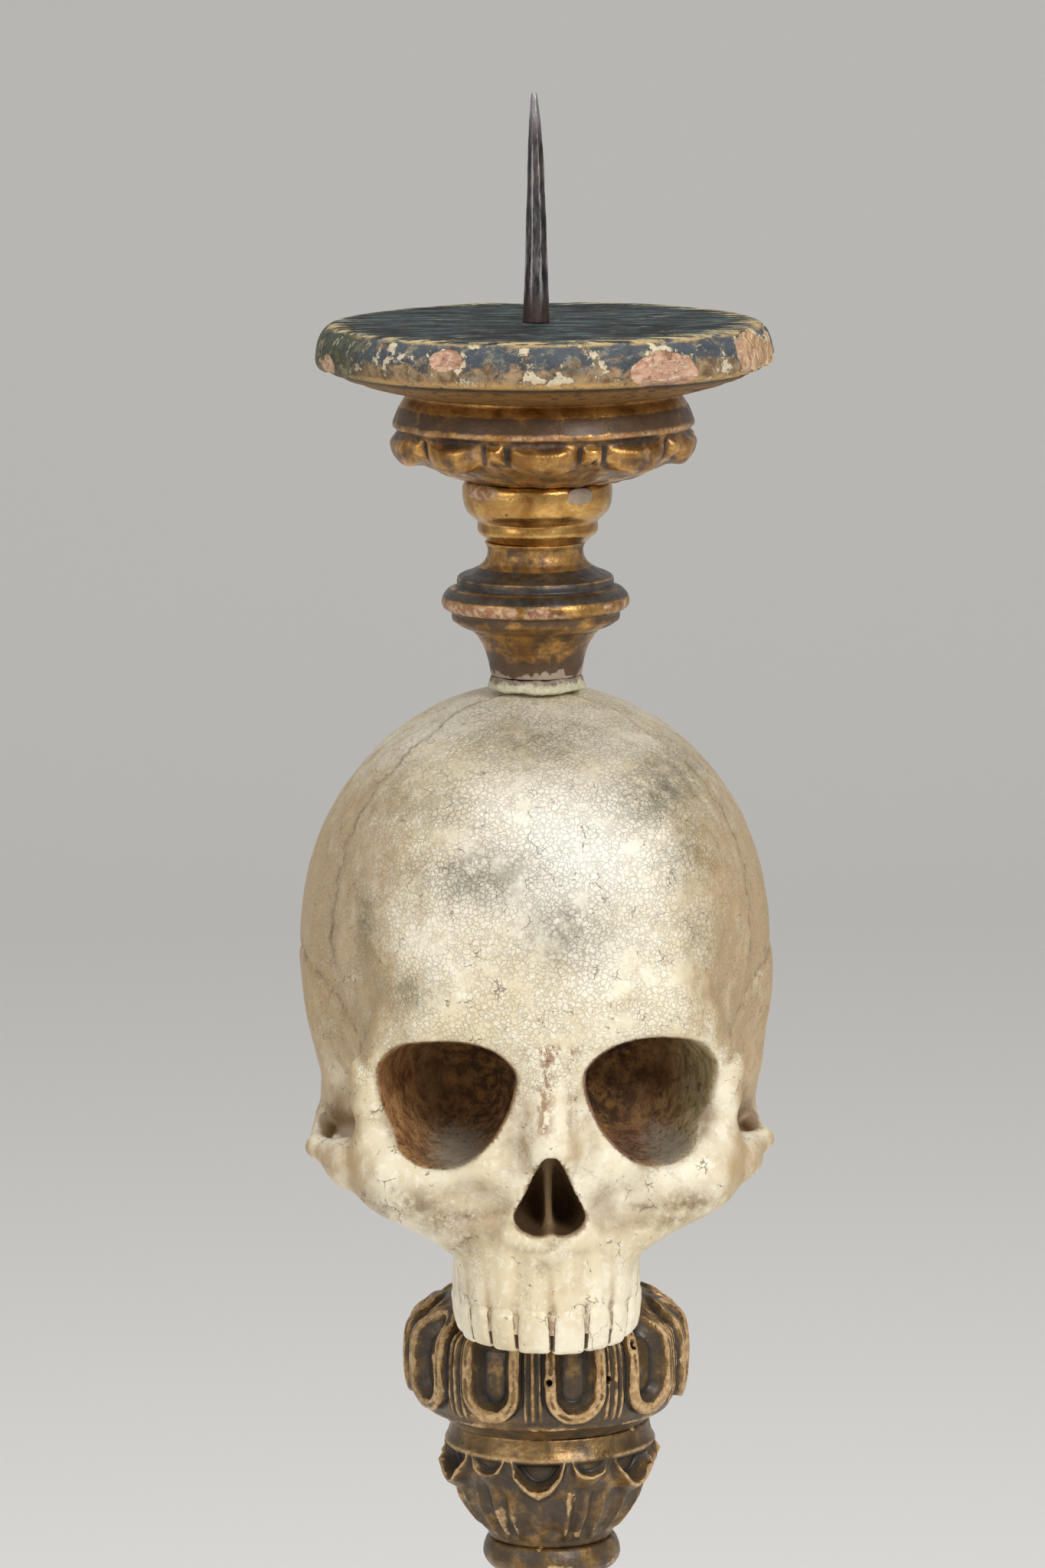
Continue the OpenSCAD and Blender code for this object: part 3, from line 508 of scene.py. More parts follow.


# The pan: near-black paint, streaked on top, slate above and tan below on the rim, with islands
# of cream gesso, pink bole where it has flaked, bare wood at the right, and a gilt line below.
# Its underside is dark brown, partly its own colour and partly painted shade under the pan.
def panMaterial():
    material, shader = startMaterial("patinatedPan")
    wear, bare = marked("wear"), marked("bare")
    height = heightHere()
    radius = addNode("VectorMath", {0: placed(1, stretch=(1, 1, 1e6))}, operation="LENGTH").outputs["Value"]
    top = times(between(height, 551.2, 551.7), between(radius, 57.5, 55.5))
    streaks = noiseOf(2.0, 5, 0.7, stretch=(9, 0.8, 1), warp=0.4)
    clouds = noiseOf(16, 5, 0.6, shift=(0.4, 0.2, 0))
    topColour = blendColour(between(streaks, 0.46, 0.62), tint(9, 11, 12), tint(84, 100, 100))
    topColour = blendColour(between(clouds, 0.48, 0.66), topColour, tint(14, 15, 15))
    flecks = noiseOf(3.0, 7, 0.78, stretch=(4, 1, 1), shift=(7, 3, 0))
    flecks = timesPlus(between(radius, 44.0, 56.5), 0.13, flecks)
    topColour = layer(topColour, between(flecks, 0.6, 0.66), 0.85, tint(196, 176, 132))
    # rim: slate going to tan with dark runs, cream islands and an ochre edge below
    paint = blendColour(noiseOf(4, 5, 0.65), tint(34, 38, 42), tint(92, 100, 106))
    tan = blendColour(patchy(0.35, 0.65, 3, 5, 0.65), tint(104, 80, 56), tint(166, 138, 102))
    tan = blendColour(patchy(0.52, 0.62, 5, 5, 0.7, shift=(2, 7, 1)), tan, tint(62, 62, 60))
    grime = noiseOf(6, 6, 0.7, stretch=(1, 1, 0.6), shift=(1, 5, 2))
    grime = timesPlus(between(height, 548.5, 542.0), 0.3, grime)
    rim = blendColour(between(grime, 0.55, 0.68), paint, tan)
    islands = timesPlus(wear, 0.3, noiseOf(6.5, 7, 0.72, shift=(8, 1, 6)))
    flakes = between(islands, 0.57, 0.6)
    cream = blendColour(noiseOf(2, 5, 0.7), tint(238, 228, 200), tint(170, 150, 116))
    mist = patchy(0.52, 0.6, 3.2, 7, 0.78, stretch=(1, 1, 0.7), shift=(4, 9, 2))
    rim = layer(rim, mist, 0.7, blendColour(clouds, tint(150, 128, 104), tint(128, 134, 118)))
    rim = layer(rim, flakes, 0.92, cream)
    worn = patchy(0.46, 0.54, 3, 6, 0.75, stretch=(3, 3, 1), shift=(9, 1, 1))
    rim = layer(rim, times(between(height, 550.6, 551.5), worn), 0.85, tint(196, 164, 106))
    ochre = times(between(height, 542.6, 541.2), patchy(0.36, 0.5, 4, 5, 0.7, shift=(3, 3, 3)))
    rim = layer(rim, ochre, 0.85, tint(196, 156, 96))
    green = times(marked("green"), patchy(0.32, 0.48, 4, 5, 0.7, shift=(2, 2, 2)))
    rim = layer(rim, green, 0.85, blendColour(noiseOf(3, 4), tint(38, 46, 32), tint(84, 88, 62)))
    runs = times(marked("green"), patchy(0.58, 0.64, 2.2, 5, 0.7, stretch=(1, 1, 5), shift=(6, 2, 2)))
    rim = layer(rim, runs, 0.8, tint(204, 192, 160))
    pink = patchy(0.35, 0.65, 2.4, 5, 0.65, stretch=(1, 1, 0.6))
    pink = blendColour(pink, tint(168, 122, 98), tint(206, 170, 142))
    cracks = patchy(0.56, 0.6, 1.6, 6, 0.75, stretch=(2.5, 2.5, 0.7), shift=(5, 5, 1))
    pink = layer(pink, cracks, 0.7, tint(226, 210, 182))
    wood = patchy(0.36, 0.64, 1.2, 5, 0.7, stretch=(1, 1, 8), shift=(1, 2, 0))
    wood = blendColour(wood, tint(146, 108, 76), tint(222, 188, 148))
    pink = blendColour(marked("broken"), pink, wood)
    edge = between(timesPlus(noiseOf(2, 5, 0.7), 0.5, bare), 0.6, 0.72)
    rim = blendColour(edge, rim, pink)
    gilt = times(between(height, 539.8, 538.4), patchy(0.32, 0.52, 3.5, 5, 0.65, stretch=(1, 1, 0.3)))
    # underside: dark brown, partly its own colour and partly painted shade under the pan, with patches of
    # gilt
    under = blendColour(noiseOf(6, 4), tint(40, 30, 20), tint(84, 64, 40))
    under = blendColour(gilt, under, tint(140, 104, 58))
    low = between(height, 540.5, 539.9)
    rim = blendColour(low, rim, under)
    colour = blendColour(top, rim, topColour)
    metal = times(times(gilt, low), 0.6)
    rough = timesPlus(streaks, 0.18, blendValue(top, 0.44, 0.6))
    relief = timesPlus(flakes, -0.6, noiseOf(1.0, 5, 0.65))
    relief = timesPlus(edge, -0.4, relief)
    relief = timesPlus(times(streaks, top), 0.5, relief)
    finishMaterial(shader, colour, metal, rough, relief, 0.35)
    shader.inputs["Specular IOR Level"].default_value = 0.22
    return material


collarLook = {
    "profile": [[0, 511], [19.5, 511], [21, 511.8], [23.6, 512.3], [26, 513.1], [27.6, 513.9], [28.8, 514.5],
                [31, 515.3], [33.2, 516.2], [35.4, 517.6], [37, 519.4], [37.7, 521.4], [37.8, 523],
                [37.9, 524.2], [38.4, 524.8], [39.1, 525.2], [39.4, 525.8], [39.2, 526.4], [38.9, 527.2],
                [38.4, 528.6], [37.8, 530], [37.1, 531.2], [36.3, 532.4], [35.6, 533.4], [35.6, 534.3],
                [0, 534.3]],
    "step": 0.32, "soften": 0.32, "columns": 640, "uneven": 0.25, "blurRounds": 16, "shift": (1.1, 0),
    "lobes": 9, "lobeDepth": 3.0, "lobeHalf": 0.36, "knuckleHalf": 0.095, "low": 515.4, "middle": 522.2,
    "high": 524.6,
}


# Lobes of the collar: across, each is a flat-topped hump whose lower end is round, along the
# height it swells to its belly, and its upper side is scooped out. A knuckle fills each gap.
def collarRelief(turn, z):
    look = collarLook
    t = within(turn, look["lobes"]) + 0.02 * np.sin(3 * turn + 1) + 0.012 * np.sin(7 * turn)
    low = look["low"] + 1.8 * (np.abs(t) / look["lobeHalf"]) ** 2
    along = ease(look["high"], look["middle"], z) * ease(low, low + 2.4, z)
    wide = np.clip(1 - np.abs(t / look["lobeHalf"]) ** 2.6, 0, 1) ** 0.75
    gap = np.abs(np.abs(t) - 0.5) / look["knuckleHalf"]
    knuckle = np.clip(1 - gap ** 2, 0, 1) ** 0.5 * ease(516.5, 519, z)
    scoop = -1.3 * hump(z - 523, 1.1) * hump(t, 0.2)
    lumps = 0.5 * ringGrain(38, turn, z, 6, 3) * ease(525.5, 524, z)
    return along * (look["lobeDepth"] * np.maximum(wide, 0.8 * knuckle) - 0.5) + scoop + lumps


# Marks of the collar: bole laid bare on the lobes, a pale worn line on its edge, dirt above it,
# and painted shade in the scoop at the top of each lobe.
def collarMarks(turn, z):
    t = within(turn, collarLook["lobes"])
    torn = ringGrain(40, turn, z, 7, 6)
    bare = ease(0.1, 0.4, torn) * hump(t - 0.1, 0.3) * ease(516, 518, z) * ease(525, 523, z) * 0.75
    line = hump(z - 526, 0.5) * ease(-0.5, 0.3, torn)
    shade = 0.22 * ease(526.5, 527.3, z) * ease(531.6, 530, z) - 0.25 * ease(530.6, 531.4, z)
    # the last part of shade is painted shade: thicker patina in the scoop at the top of each lobe
    return {"bare": np.maximum(bare, line), "shade": shade + 0.12 * ease(524.4, 522.5, z) * hump(t, 0.1)}


bulbLook = {
    "profile": [[0, 495], [12.8, 495], [13.9, 496.2], [15.1, 497], [15.7, 498], [15.6, 499.5], [15.5, 500.3],
                [16.2, 501], [17.4, 502], [18.5, 503.2], [19.1, 504.9], [19.4, 507.2], [19.4, 509.5],
                [18.9, 510.6], [18.2, 511], [0, 511]],
    "step": 0.3, "soften": 0.35, "columns": 420, "uneven": 0.18, "blurRounds": 16, "shift": (-0.7, 0),
}


# Marks of the bulb: a pale lump of filler to the right, bole laid bare to the upper left, and
# specks of black below it.
def bulbMarks(turn, z):
    side = np.degrees(sideOf(turn))
    torn = 2.4 * ringGrain(19, turn, z, 3, 2)
    filler = ease(1.15, 0.85, (np.abs((side - 35) / 11) ** 3 + np.abs((z - 508.4) / 2.0) ** 3) + 0.1 * torn)
    bole = ease(1.2, 0.8, np.hypot((side + 52) / 18, (z - 509) / 2.2) + 0.15 * torn)
    specks = ease(0.25, 0.5, ringGrain(19, turn, z, 2.2, 6)) * hump((side + 20) / 14, 1)
    specks = specks * hump(z - 504, 1.6)
    return {"bare": bole, "filler": filler, "shade": 0.5 * specks}


# The lump of filler stands out.
def bulbRelief(turn, z):
    return 0.45 * bulbMarks(turn, z)["filler"]


neckLook = {
    "profile": [[0, 460], [11.8, 460], [12, 461], [12.5, 464], [13.3, 466.5], [14, 468.2], [15.4, 470.6],
                [17, 472.2], [19.3, 473], [20.3, 473.6], [20.9, 474.1], [21.7, 474.6], [21.9, 475.4],
                [21.9, 476.6], [22.4, 477.2], [23.4, 477.5], [24.2, 478.2], [24.5, 479.2], [24.4, 480.2],
                [23.9, 481.3], [23.0, 482.4], [22.2, 482.9], [21.0, 483.2], [20.3, 483.7], [20.5, 484.3],
                [20.5, 485.1], [20.1, 486.0], [19.0, 486.6], [17.2, 487.2], [15.1, 488.3], [13.5, 489.6],
                [12.7, 491], [12.4, 492.3], [12.5, 493.6], [13.2, 495], [0, 495]],
    "step": 0.28, "soften": 0.2, "columns": 460, "uneven": 0.16, "blurRounds": 16, "shift": (-1.3, 0),
}


# Marks of the neck: black on the upper steps of the ring, flakes of gesso on its lower half at
# the left, dirt low on the flare, and filler that creeps up its foot here and there.
def neckMarks(turn, z):
    torn = ringGrain(22, turn, z, 4, 3)
    side = np.degrees(sideOf(turn))
    gesso = ease(-0.1, 0.2, torn + hump(side + 35, 45) * 0.9 - 0.3)
    gesso = gesso * ease(477, 477.6, z) * ease(480.8, 479.8, z)
    filler = ease(464.0, 460.0, z + 2.6 * torn - 0.8 * np.sin(5 * turn)) * 0.7
    dark = ease(480.2, 481.4, z) * ease(489.5, 487.5, z)
    dark = dark * (1 - 0.75 * hump(z - 483.1, 0.3) - 0.6 * hump(z - 485.6, 0.35))
    shade = 0.25 * ease(468, 463, z) + 0.1 * hump(z - 475.5, 1.5)
    return {"bare": gesso, "filler": filler, "dark": dark, "shade": shade}


# Adds to a gilt material what only the neck has: black paint, and filler with a rough surface.
def addNeckPaint(material):
    tree = material.node_tree
    shader = tree.nodes["Principled BSDF"]
    colour = shader.inputs["Base Color"].links[0].from_socket
    metal = shader.inputs["Metallic"].links[0].from_socket
    rough = shader.inputs["Roughness"].links[0].from_socket
    dark = between(timesPlus(noiseOf(3, 5, 0.65, shift=(6, 6, 6)), 0.6, marked("dark")), 0.7, 0.95)
    filler = between(timesPlus(noiseOf(1.6, 4), 0.3, marked("filler")), 0.5, 0.7)
    paint = blendColour(patchy(0.35, 0.7, 2.5, 5, 0.65), tint(16, 16, 15), tint(50, 53, 54))
    colour = layer(colour, dark, 0.92, paint)
    grey = blendColour(noiseOf(2.0, 5, 0.7), tint(126, 108, 94), tint(186, 168, 144))
    colour = blendColour(filler, colour, grey)
    cover = calc("MAXIMUM", dark, filler)
    tree.links.new(colour, shader.inputs["Base Color"])
    tree.links.new(times(metal, rest(cover, clamp=True)), shader.inputs["Metallic"])
    tree.links.new(blendValue(filler, rough, 0.75), shader.inputs["Roughness"])
    return material


beadLook = {
    "profile": [[0, 456], [11, 456], [12.4, 456.3], [12.9, 457], [12.7, 458.2], [12.3, 459.3], [12, 460],
                [0, 460]],
    "step": 0.25, "soften": 0.3, "columns": 300, "uneven": 0.3, "blurRounds": 8, "shift": (-1.3, 0),
}


# Lumps of filler round the foot of the neck.
def beadRelief(turn, z):
    return 0.55 * ringGrain(13, turn, z, 3.2, 4)


# Filler: grey where it meets the neck, and the colour of the bone below, rough all over.
def fillerMaterial():
    material, shader = startMaterial("rubbedFiller")
    lumps = noiseOf(1.8, 5, 0.7)
    height = heightHere()
    grey = blendColour(between(lumps, 0.3, 0.7), tint(104, 88, 78), tint(168, 150, 130))
    bone = blendColour(between(lumps, 0.3, 0.7), tint(186, 180, 146), tint(222, 216, 190))
    edge = timesPlus(noiseOf(3.5, 5, 0.7), 4.0, height)
    colour = blendColour(between(edge, 461.2, 460.2), grey, bone)
    finishMaterial(shader, colour, 0.0, blendValue(lumps, 0.65, 0.85), lumps, 0.6)
    return material


skullLook = {
    "seat": 300.0, "turn": 2.5, "shift": -1.7, "spacing": 1.1,
    "low": [-66, -74, -1.5], "high": [66, 82, 160], "slab": 24, "smallCarving": 0.35,
    "blurRounds": 14, "archShift": 0.6,
    "socketMiddle": [25.9, -56.0, 58.7], "socketRadii": [18.1, 31.0, 16.8], "socketLean": 15,
    "socketTaper": 0.23, "socketDroop": 1.9,
}
domeMass = [[0, 7, 89.5], [61.4, 70, 66.6], 2.05]       # middle, radii and exponent
# Rounded masses of bone on both sides: middle, radii and how softly each joins the rest
boneMasses = [
    [[0, 30, 86], [56.5, 47, 50], 14],      # back of the head
    [[0, 34, 50], [36, 34, 27], 16],        # nape
    [[0, 6, 22], [22, 34, 28], 12],         # base
    [[45.5, 12, 38.5], [9, 13, 13], 8],     # mastoid
    [[40.5, 4, 62], [15, 36, 28], 12],      # side of the head
    [[47.6, 6, 47], [8.2, 17, 7], 5],       # root of the cheek arch
]
faceMasses = [
    [[0, -33, 52], [38.5, 27, 26], 8],      # middle of the face
    [[24, -42, 37], [17, 16, 12], 8],       # under the socket
    [[0, -55.5, 36], [12.5, 12.5, 18], 6],  # round the opening of the nose
    [[46.8, -45.0, 64.0], [4.1, 4.1, 4.1], 1.5],      # knob on the outer rim of the socket
]
earMass = [[50.5, 2, 58], [7.0, 20, 12], 5]      # over the right ear, where the head is fuller
foreheadMass = [[0, -22, 96], [49.0, 45.5, 49.0], 2.8, 10]
jawMass = [[0, -41, 12], [23.7, 24.2, 27], 2.4, 7]
# Rounded bars of bone: both ends, both radii and how softly each joins the rest
boneBars = [
    [[6, -60, 80], [30, -57.5, 81], 7.5, 6.5, 10],          # brow
    [[30, -58.0, 80.5], [38.5, -53.0, 77], 6.0, 4.8, 6],
    [[38.5, -53.0, 77], [42.2, -48.5, 69], 4.6, 4.2, 4],
    [[42.6, -47, 69], [44.2, -43, 55], 4.2, 4.6, 4],        # outer rim of the socket
    [[46.6, -44.5, 63], [45.2, -41.5, 54], 4.0, 3.8, 4],
    [[44.2, -43.0, 56], [43.4, -42.8, 44], 4.6, 5.4, 4],
    [[43.4, -42.5, 43.5], [35.5, -47.0, 38], 5.4, 6.8, 6],  # lower rim of the socket
    [[35.5, -47.0, 38], [22, -52.5, 36.5], 6.8, 6.8, 7],
    [[50, -34, 37.6], [38, -46.0, 35.0], 6.0, 8.8, 5],      # cheek bone
    [[38, -46.0, 35.0], [23, -51.5, 28.5], 8.8, 10, 8],
    [[9.5, -58.5, 70], [14.5, -56, 44], 6.0, 8.5, 8],       # beside the nose
    [[0, -60.5, 75], [0, -66.4, 48.5], 6.8, 5.6, 7],        # bridge of the nose
]
# Soft hollows: middle, radii and how softly each is cut
boneHollows = [
    [[66, -36, 62], [14, 22, 28], 12],      # temple
    [[66.5, -54, 86], [22.6, 24, 25], 4],     # side of the forehead
    [[37, -12, 8], [15, 24, 22], 8],        # between the jaw and the seat
    [[58.5, -22, 54], [9.0, 12, 9], 4],     # above the cheek arch
    [[54.1, -40, 50.6], [5.0, 12, 5.2], 1],     # corner between the arch and the rim
    [[22, -66, 31.5], [6.5, 6.5, 5.5], 6],  # dimple under the socket
    [[0, -36, -8], [14, 24, 11], 4],        # palate
]
cheekArch = [[[49.0, -36, 38.2], [57.8, -22, 39.9], 6.6, 2.5], [[57.8, -22, 39.9], [54.6, 8, 41.8], 2.5, 3.4]]
# Under side of the cheek: a point on its edge, the edge's rise, the side of the jaw, how far
# back the hollow under it reaches and how softly the two meet
cheekEdge = {"across": 31.9, "up": 21.4, "rise": 0.52, "jaw": 24.0, "back": -16.0, "round": 9.0}
noseSill = [[9.8, -62.2, 24.0], [0.3, -67.0, 20.3], 1.8, 2.1, 3.5]
rootJoin = 1.5
toothWidths = [8.4, 7.2, 6.9, 6.0, 5.7, 6.6, 5.4]
toothArch = {"middle": -39.5, "across": 21.7, "deep": 25.2, "wall": 2.1}


# Where the teeth stand: their widths laid end to end along an arch that is an ellipse.
def toothPlaces():
    arch = toothArch
    angle = np.linspace(0, math.radians(115), 2000)
    x, y = arch["across"] * np.sin(angle), arch["middle"] - arch["deep"] * np.cos(angle)
    run = np.concatenate([[0], np.cumsum(np.hypot(np.diff(x), np.diff(y)))])
    ends = np.concatenate([[0], np.cumsum(toothWidths)])
    places = []
    for a, width in zip(np.interp((ends[1:] + ends[:-1]) / 2, run, angle), toothWidths):
        turn = math.degrees(math.atan2(arch["deep"] * math.sin(a), arch["across"] * math.cos(a)))
        places.append((arch["across"] * math.sin(a), arch["middle"] - arch["deep"] * math.cos(a), turn,
                       width))
    return places


# Ridges over the roots of the teeth, as bars: they stand out more towards the sides and end
# lower there. The second one fills the gap between the two front roots.
def toothRoots():
    roots = []
    for i, (tx, ty, turn, width) in enumerate(toothPlaces()[:6]):
        out = min(0.33 * i - 0.35, 0.6)
        x, y = tx + out * math.sin(math.radians(turn)), ty - out * math.cos(math.radians(turn))
        roots.append(((x, y, 4), (x * 0.98, y, 20 - 1.3 * i), width * 0.4, width * 0.3))
        if i == 0:
            roots.append(((0, ty + 0.6, 5), (0, ty + 0.4, 19), width * 0.4, width * 0.36))
    return roots


# Length of a vector from its parts.
def lengthOf(*parts):
    return np.sqrt(sum(p * p for p in parts))


# Signed distance from an ellipsoid, near enough close to its surface.
def massGap(p, middle, radii):
    q = [(p[i] - middle[i]) / radii[i] for i in range(3)]
    k = lengthOf(*q)
    return k * (k - 1) / np.maximum(lengthOf(*[q[i] / radii[i] for i in range(3)]), 1e-5)


# Signed distance from a mass that is squarer or leaner than an ellipsoid, by its exponent.
def squareGap(p, middle, radii, power):
    q = sum(np.abs((p[i] - middle[i]) / radii[i]) ** power for i in range(3)) ** (1 / power)
    return (q - 1) * min(radii)


# Signed distance from a bar with round ends, thicker at one end than at the other.
def barGap(p, a, b, radiusA, radiusB):
    along = [b[i] - a[i] for i in range(3)]
    t = np.clip(sum((p[i] - a[i]) * along[i] for i in range(3)) / sum(v * v for v in along), 0, 1)
    return lengthOf(*[p[i] - a[i] - t * along[i] for i in range(3)]) - radiusA - (radiusB - radiusA) * t


# The lesser of two distances, rounded over a width where they meet.
def softJoin(a, b, width):
    h = np.clip(0.5 + 0.5 * (b - a) / width, 0, 1)
    return b * (1 - h) + a * h - width * h * (1 - h)


# The first shape without the second, with a rounded edge.
def softCut(a, b, width):
    return -softJoin(-a, b, width)


# The greater of two distances, rounded in the same way.
def softMeet(a, b, width):
    return -softJoin(-a, -b, width)


# Distance from the hollow under the cheek: below its edge, outside the jaw and not too far back.
def cheekHollow(x, y, z):
    edge = cheekEdge
    under = (z - edge["up"] - edge["rise"] * (x - edge["across"])) / math.hypot(1, edge["rise"])
    return softMeet(softMeet(under, edge["jaw"] - x, edge["round"]), y - edge["back"], 12)


# Distance from the wall of bone between the crowns of the teeth: a band along their arch.
def crownWall(x, y, z):
    arch = toothArch
    reach = lengthOf(x / arch["across"], (y - arch["middle"]) / arch["deep"])
    band = np.abs(reach - 1) * (arch["across"] + arch["deep"]) / 2 - arch["wall"]
    return softMeet(softMeet(band, np.abs(z - 2) - 6.2, 1.0), y + 31, 1.0)


# Distance from the bone before the sockets and the nose are cut: masses and bars joined softly,
# soft hollows taken out, cheek arches and the ridges over the roots of the teeth added.
def wholeBone(x, y, z):
    p = (np.sqrt((x - 0.3 * ease(28, 42, np.abs(x)) * ease(90, 75, z)) ** 2 + 0.5), y, z)
    d = squareGap(p, *domeMass)
    d = softJoin(d, squareGap(p, *foreheadMass[:3]), foreheadMass[3])
    for middle, radii, join in boneMasses:
        d = softJoin(d, massGap(p, middle, radii), join)
    for middle, radii, cut in boneHollows[:2]:
        d = softCut(d, massGap(p, middle, radii), cut)
    for middle, radii, join in faceMasses[:3]:
        d = softJoin(d, massGap(p, middle, radii), join)
    for a, b, radiusA, radiusB, join in boneBars:
        d = softJoin(d, barGap(p, a, b, radiusA, radiusB), join)
    d = softJoin(d, squareGap(p, *jawMass[:3]), jawMass[3])
    d = softCut(d, cheekHollow(*p), 2)
    for middle, radii, cut in boneHollows[2:5]:
        d = softCut(d, massGap(p, middle, radii), cut)
    d = softJoin(d, massGap(p, *faceMasses[3][:2]), faceMasses[3][2])
    arch = (np.sqrt((x + skullLook["archShift"]) ** 2 + 0.5), y, z)
    d = softJoin(d, softJoin(barGap(arch, *cheekArch[0]), barGap(arch, *cheekArch[1]), 3), 3)
    d = softJoin(d, massGap((x, y, z), *earMass[:2]), earMass[2])
    for middle, radii, cut in boneHollows[5:]:
        d = softCut(d, massGap(p, middle, radii), cut)
    for a, b, radiusA, radiusB in toothRoots():
        d = softJoin(d, barGap(p, a, b, radiusA, radiusB), rootJoin)
    front = softJoin(softCut(d, z - 4.2, 3.6), crownWall(*p), 1.2)
    return np.where(y > -34, softCut(d, z, 0.8), front)


# Distance from the eye sockets: deep cups that lean towards the middle of the head, wider above
# than below, with their lower end farther out.
def socketGap(x, y, z):
    look = skullLook
    m, radii, lean = look["socketMiddle"], look["socketRadii"], math.radians(look["socketLean"])
    u, v, w = np.abs(x) - m[0], y - m[1], z - m[2]
    u, v = math.cos(lean) * u + math.sin(lean) * v, -math.sin(lean) * u + math.cos(lean) * v
    up = np.clip(w / radii[2], -1.2, 1.2)
    u = (u + look["socketDroop"] * up) / np.minimum(0.96 + look["socketTaper"] * up, 1.08)
    return squareGap((u, v, w), (0, 0, 0), radii, 2.4)


# Distance from the opening of the nose: a bar on each side, thin above and thick below, that
# make a pear together, stretched from front to back.
def noseGap(x, y, z):
    p = (np.sqrt(x * x + 0.6), (y + 66) / 4, z)
    return barGap(p, (0.2, 0, 44.2), (4.2, 0, 29.0), 2.5, 4.9)


# Distance from the finished bone: sockets and nose cut out, the wall inside the nose and the
# ledge under it added, and the carver's hand over all of it.
def boneGap(x, y, z):
    d = softCut(wholeBone(x, y, z), socketGap(x, y, z), 2.2)
    d = softCut(d, noseGap(x, y, z), 0.8)
    wall = np.maximum(np.maximum(np.abs(x + 0.3) - 0.7, np.abs(y + 47) - 10), np.abs(z - 34) - 13)
    d = softJoin(d, wall, 2.5)
    p = (np.sqrt(x * x + 0.1), y, z)
    d = softJoin(d, barGap(p, *noseSill[:4]), noseSill[4])
    # what the carver's hand leaves: slow waves, and the step along the joints of the bones
    slow = skullLook["smallCarving"] * grain(x, y, z, 17, 1) + 0.13 * grain(x, y, z, 5, 2)
    front = frontJoint(x, y, z)
    high = ease(80, 92, z)
    d = d + slow * 0.8 - 0.7 * ease(-3.0, 0.2, front) * high + 0.5 * hump(front + 1.4, 0.9) * high
    reach, near = sideScale(x, y, z)
    scale = 0.6 * ease(1.06, 0.92, reach) * ease(60, 74, z) - 0.35 * hump((reach - 1.03) * 33, 1.3)
    return d - near * scale


# How far a place lies in front of the joint that runs from side to side over the crown.
def frontJoint(x, y, z):
    across = np.abs(x)
    line = np.interp(across, [0, 17, 26, 34, 44, 50, 54, 60], [-2, -8, -16, -22, -27, -28.5, -31, -33])
    return line + 0.9 * np.sin(z * 0.8) + 0.6 * np.sin(z * 1.9 + x) - y


# Reach of a place from the middle of the scale of bone above the ear, with 1 at its arched
# edge, and how much the place belongs to that side of the head.
def sideScale(x, y, z):
    reach = np.hypot((y - 4) / 42, (z - 54) / 33) + 0.012 * np.sin(y * 0.9) * (z > 60)
    return reach, ease(40, 47, np.abs(x)) * ease(42, 52, z) * ease(-48, -36, y)


# Skin of a field on a cubic grid: one point in each cell that the surface crosses, at the mean
# of the crossings on the cell's edges, and one face round each grid line that it crosses.
def skinOf(values, low, spacing):
    inside = values < 0
    size = np.array(values.shape) - 1
    corner = [(i, j, k) for i in (0, 1) for j in (0, 1) for k in (0, 1)]
    count = sum(inside[i:i + size[0], j:j + size[1], k:k + size[2]].astype(np.int8) for i, j, k in corner)
    cells = np.argwhere((count > 0) & (count < 8))
    number = np.full(size, -1, np.int64)
    number[tuple(cells.T)] = np.arange(len(cells))
    total, hits = np.zeros((len(cells), 3)), np.zeros(len(cells))
    for axis in range(3):
        way = np.eye(3, dtype=int)[axis]
        for start in corner:
            if start[axis] == 0:
                a = cells + start
                va, vb = values[tuple(a.T)], values[tuple((a + way).T)]
                crossed = (va < 0) != (vb < 0)
                share = va[crossed] / (va[crossed] - vb[crossed])
                total[crossed] += a[crossed] + share[:, None] * way
                hits[crossed] += 1
    points = np.array(low) + spacing * total / hits[:, None]
    quads = []
    for axis in range(3):
        u, v = np.eye(3, dtype=int)[(axis + 1) % 3], np.eye(3, dtype=int)[(axis + 2) % 3]
        a = inside[tuple(slice(0, size[k] + (k != axis)) for k in range(3))]
        b = inside[tuple(slice(1, size[k] + 1) if k == axis else slice(0, size[k] + 1) for k in range(3))]
        lines = np.argwhere(a != b)
        keep = np.all([(lines[:, k] > 0) & (lines[:, k] < size[k]) for k in range(3) if k != axis], axis=0)
        lines = lines[keep]
        ring = np.stack([number[tuple((lines - s).T)] for s in (0 * u, u, u + v, v)], 1)
        outward = a[tuple(lines.T)]
        quads.append(np.where(outward[:, None], ring, ring[:, ::-1]))
    return points, np.concatenate(quads)


# Slope of a field at the points, from its values a little to either side along each axis.
def slopeOf(field, points, reach=0.3):
    way = np.eye(3) * reach
    parts = [field(*(points + w).T) - field(*(points - w).T) for w in way]
    return np.stack(parts, 1) / (2 * reach)


# From the skull's own frame to the stem's: turned a little to the right, and stood on the cup.
def toStem(points):
    a = math.radians(skullLook["turn"])
    x, y, z = points.T
    across = math.cos(a) * x - math.sin(a) * y + skullLook["shift"]
    return np.stack([across, math.sin(a) * x + math.cos(a) * y, z + skullLook["seat"]], 1)


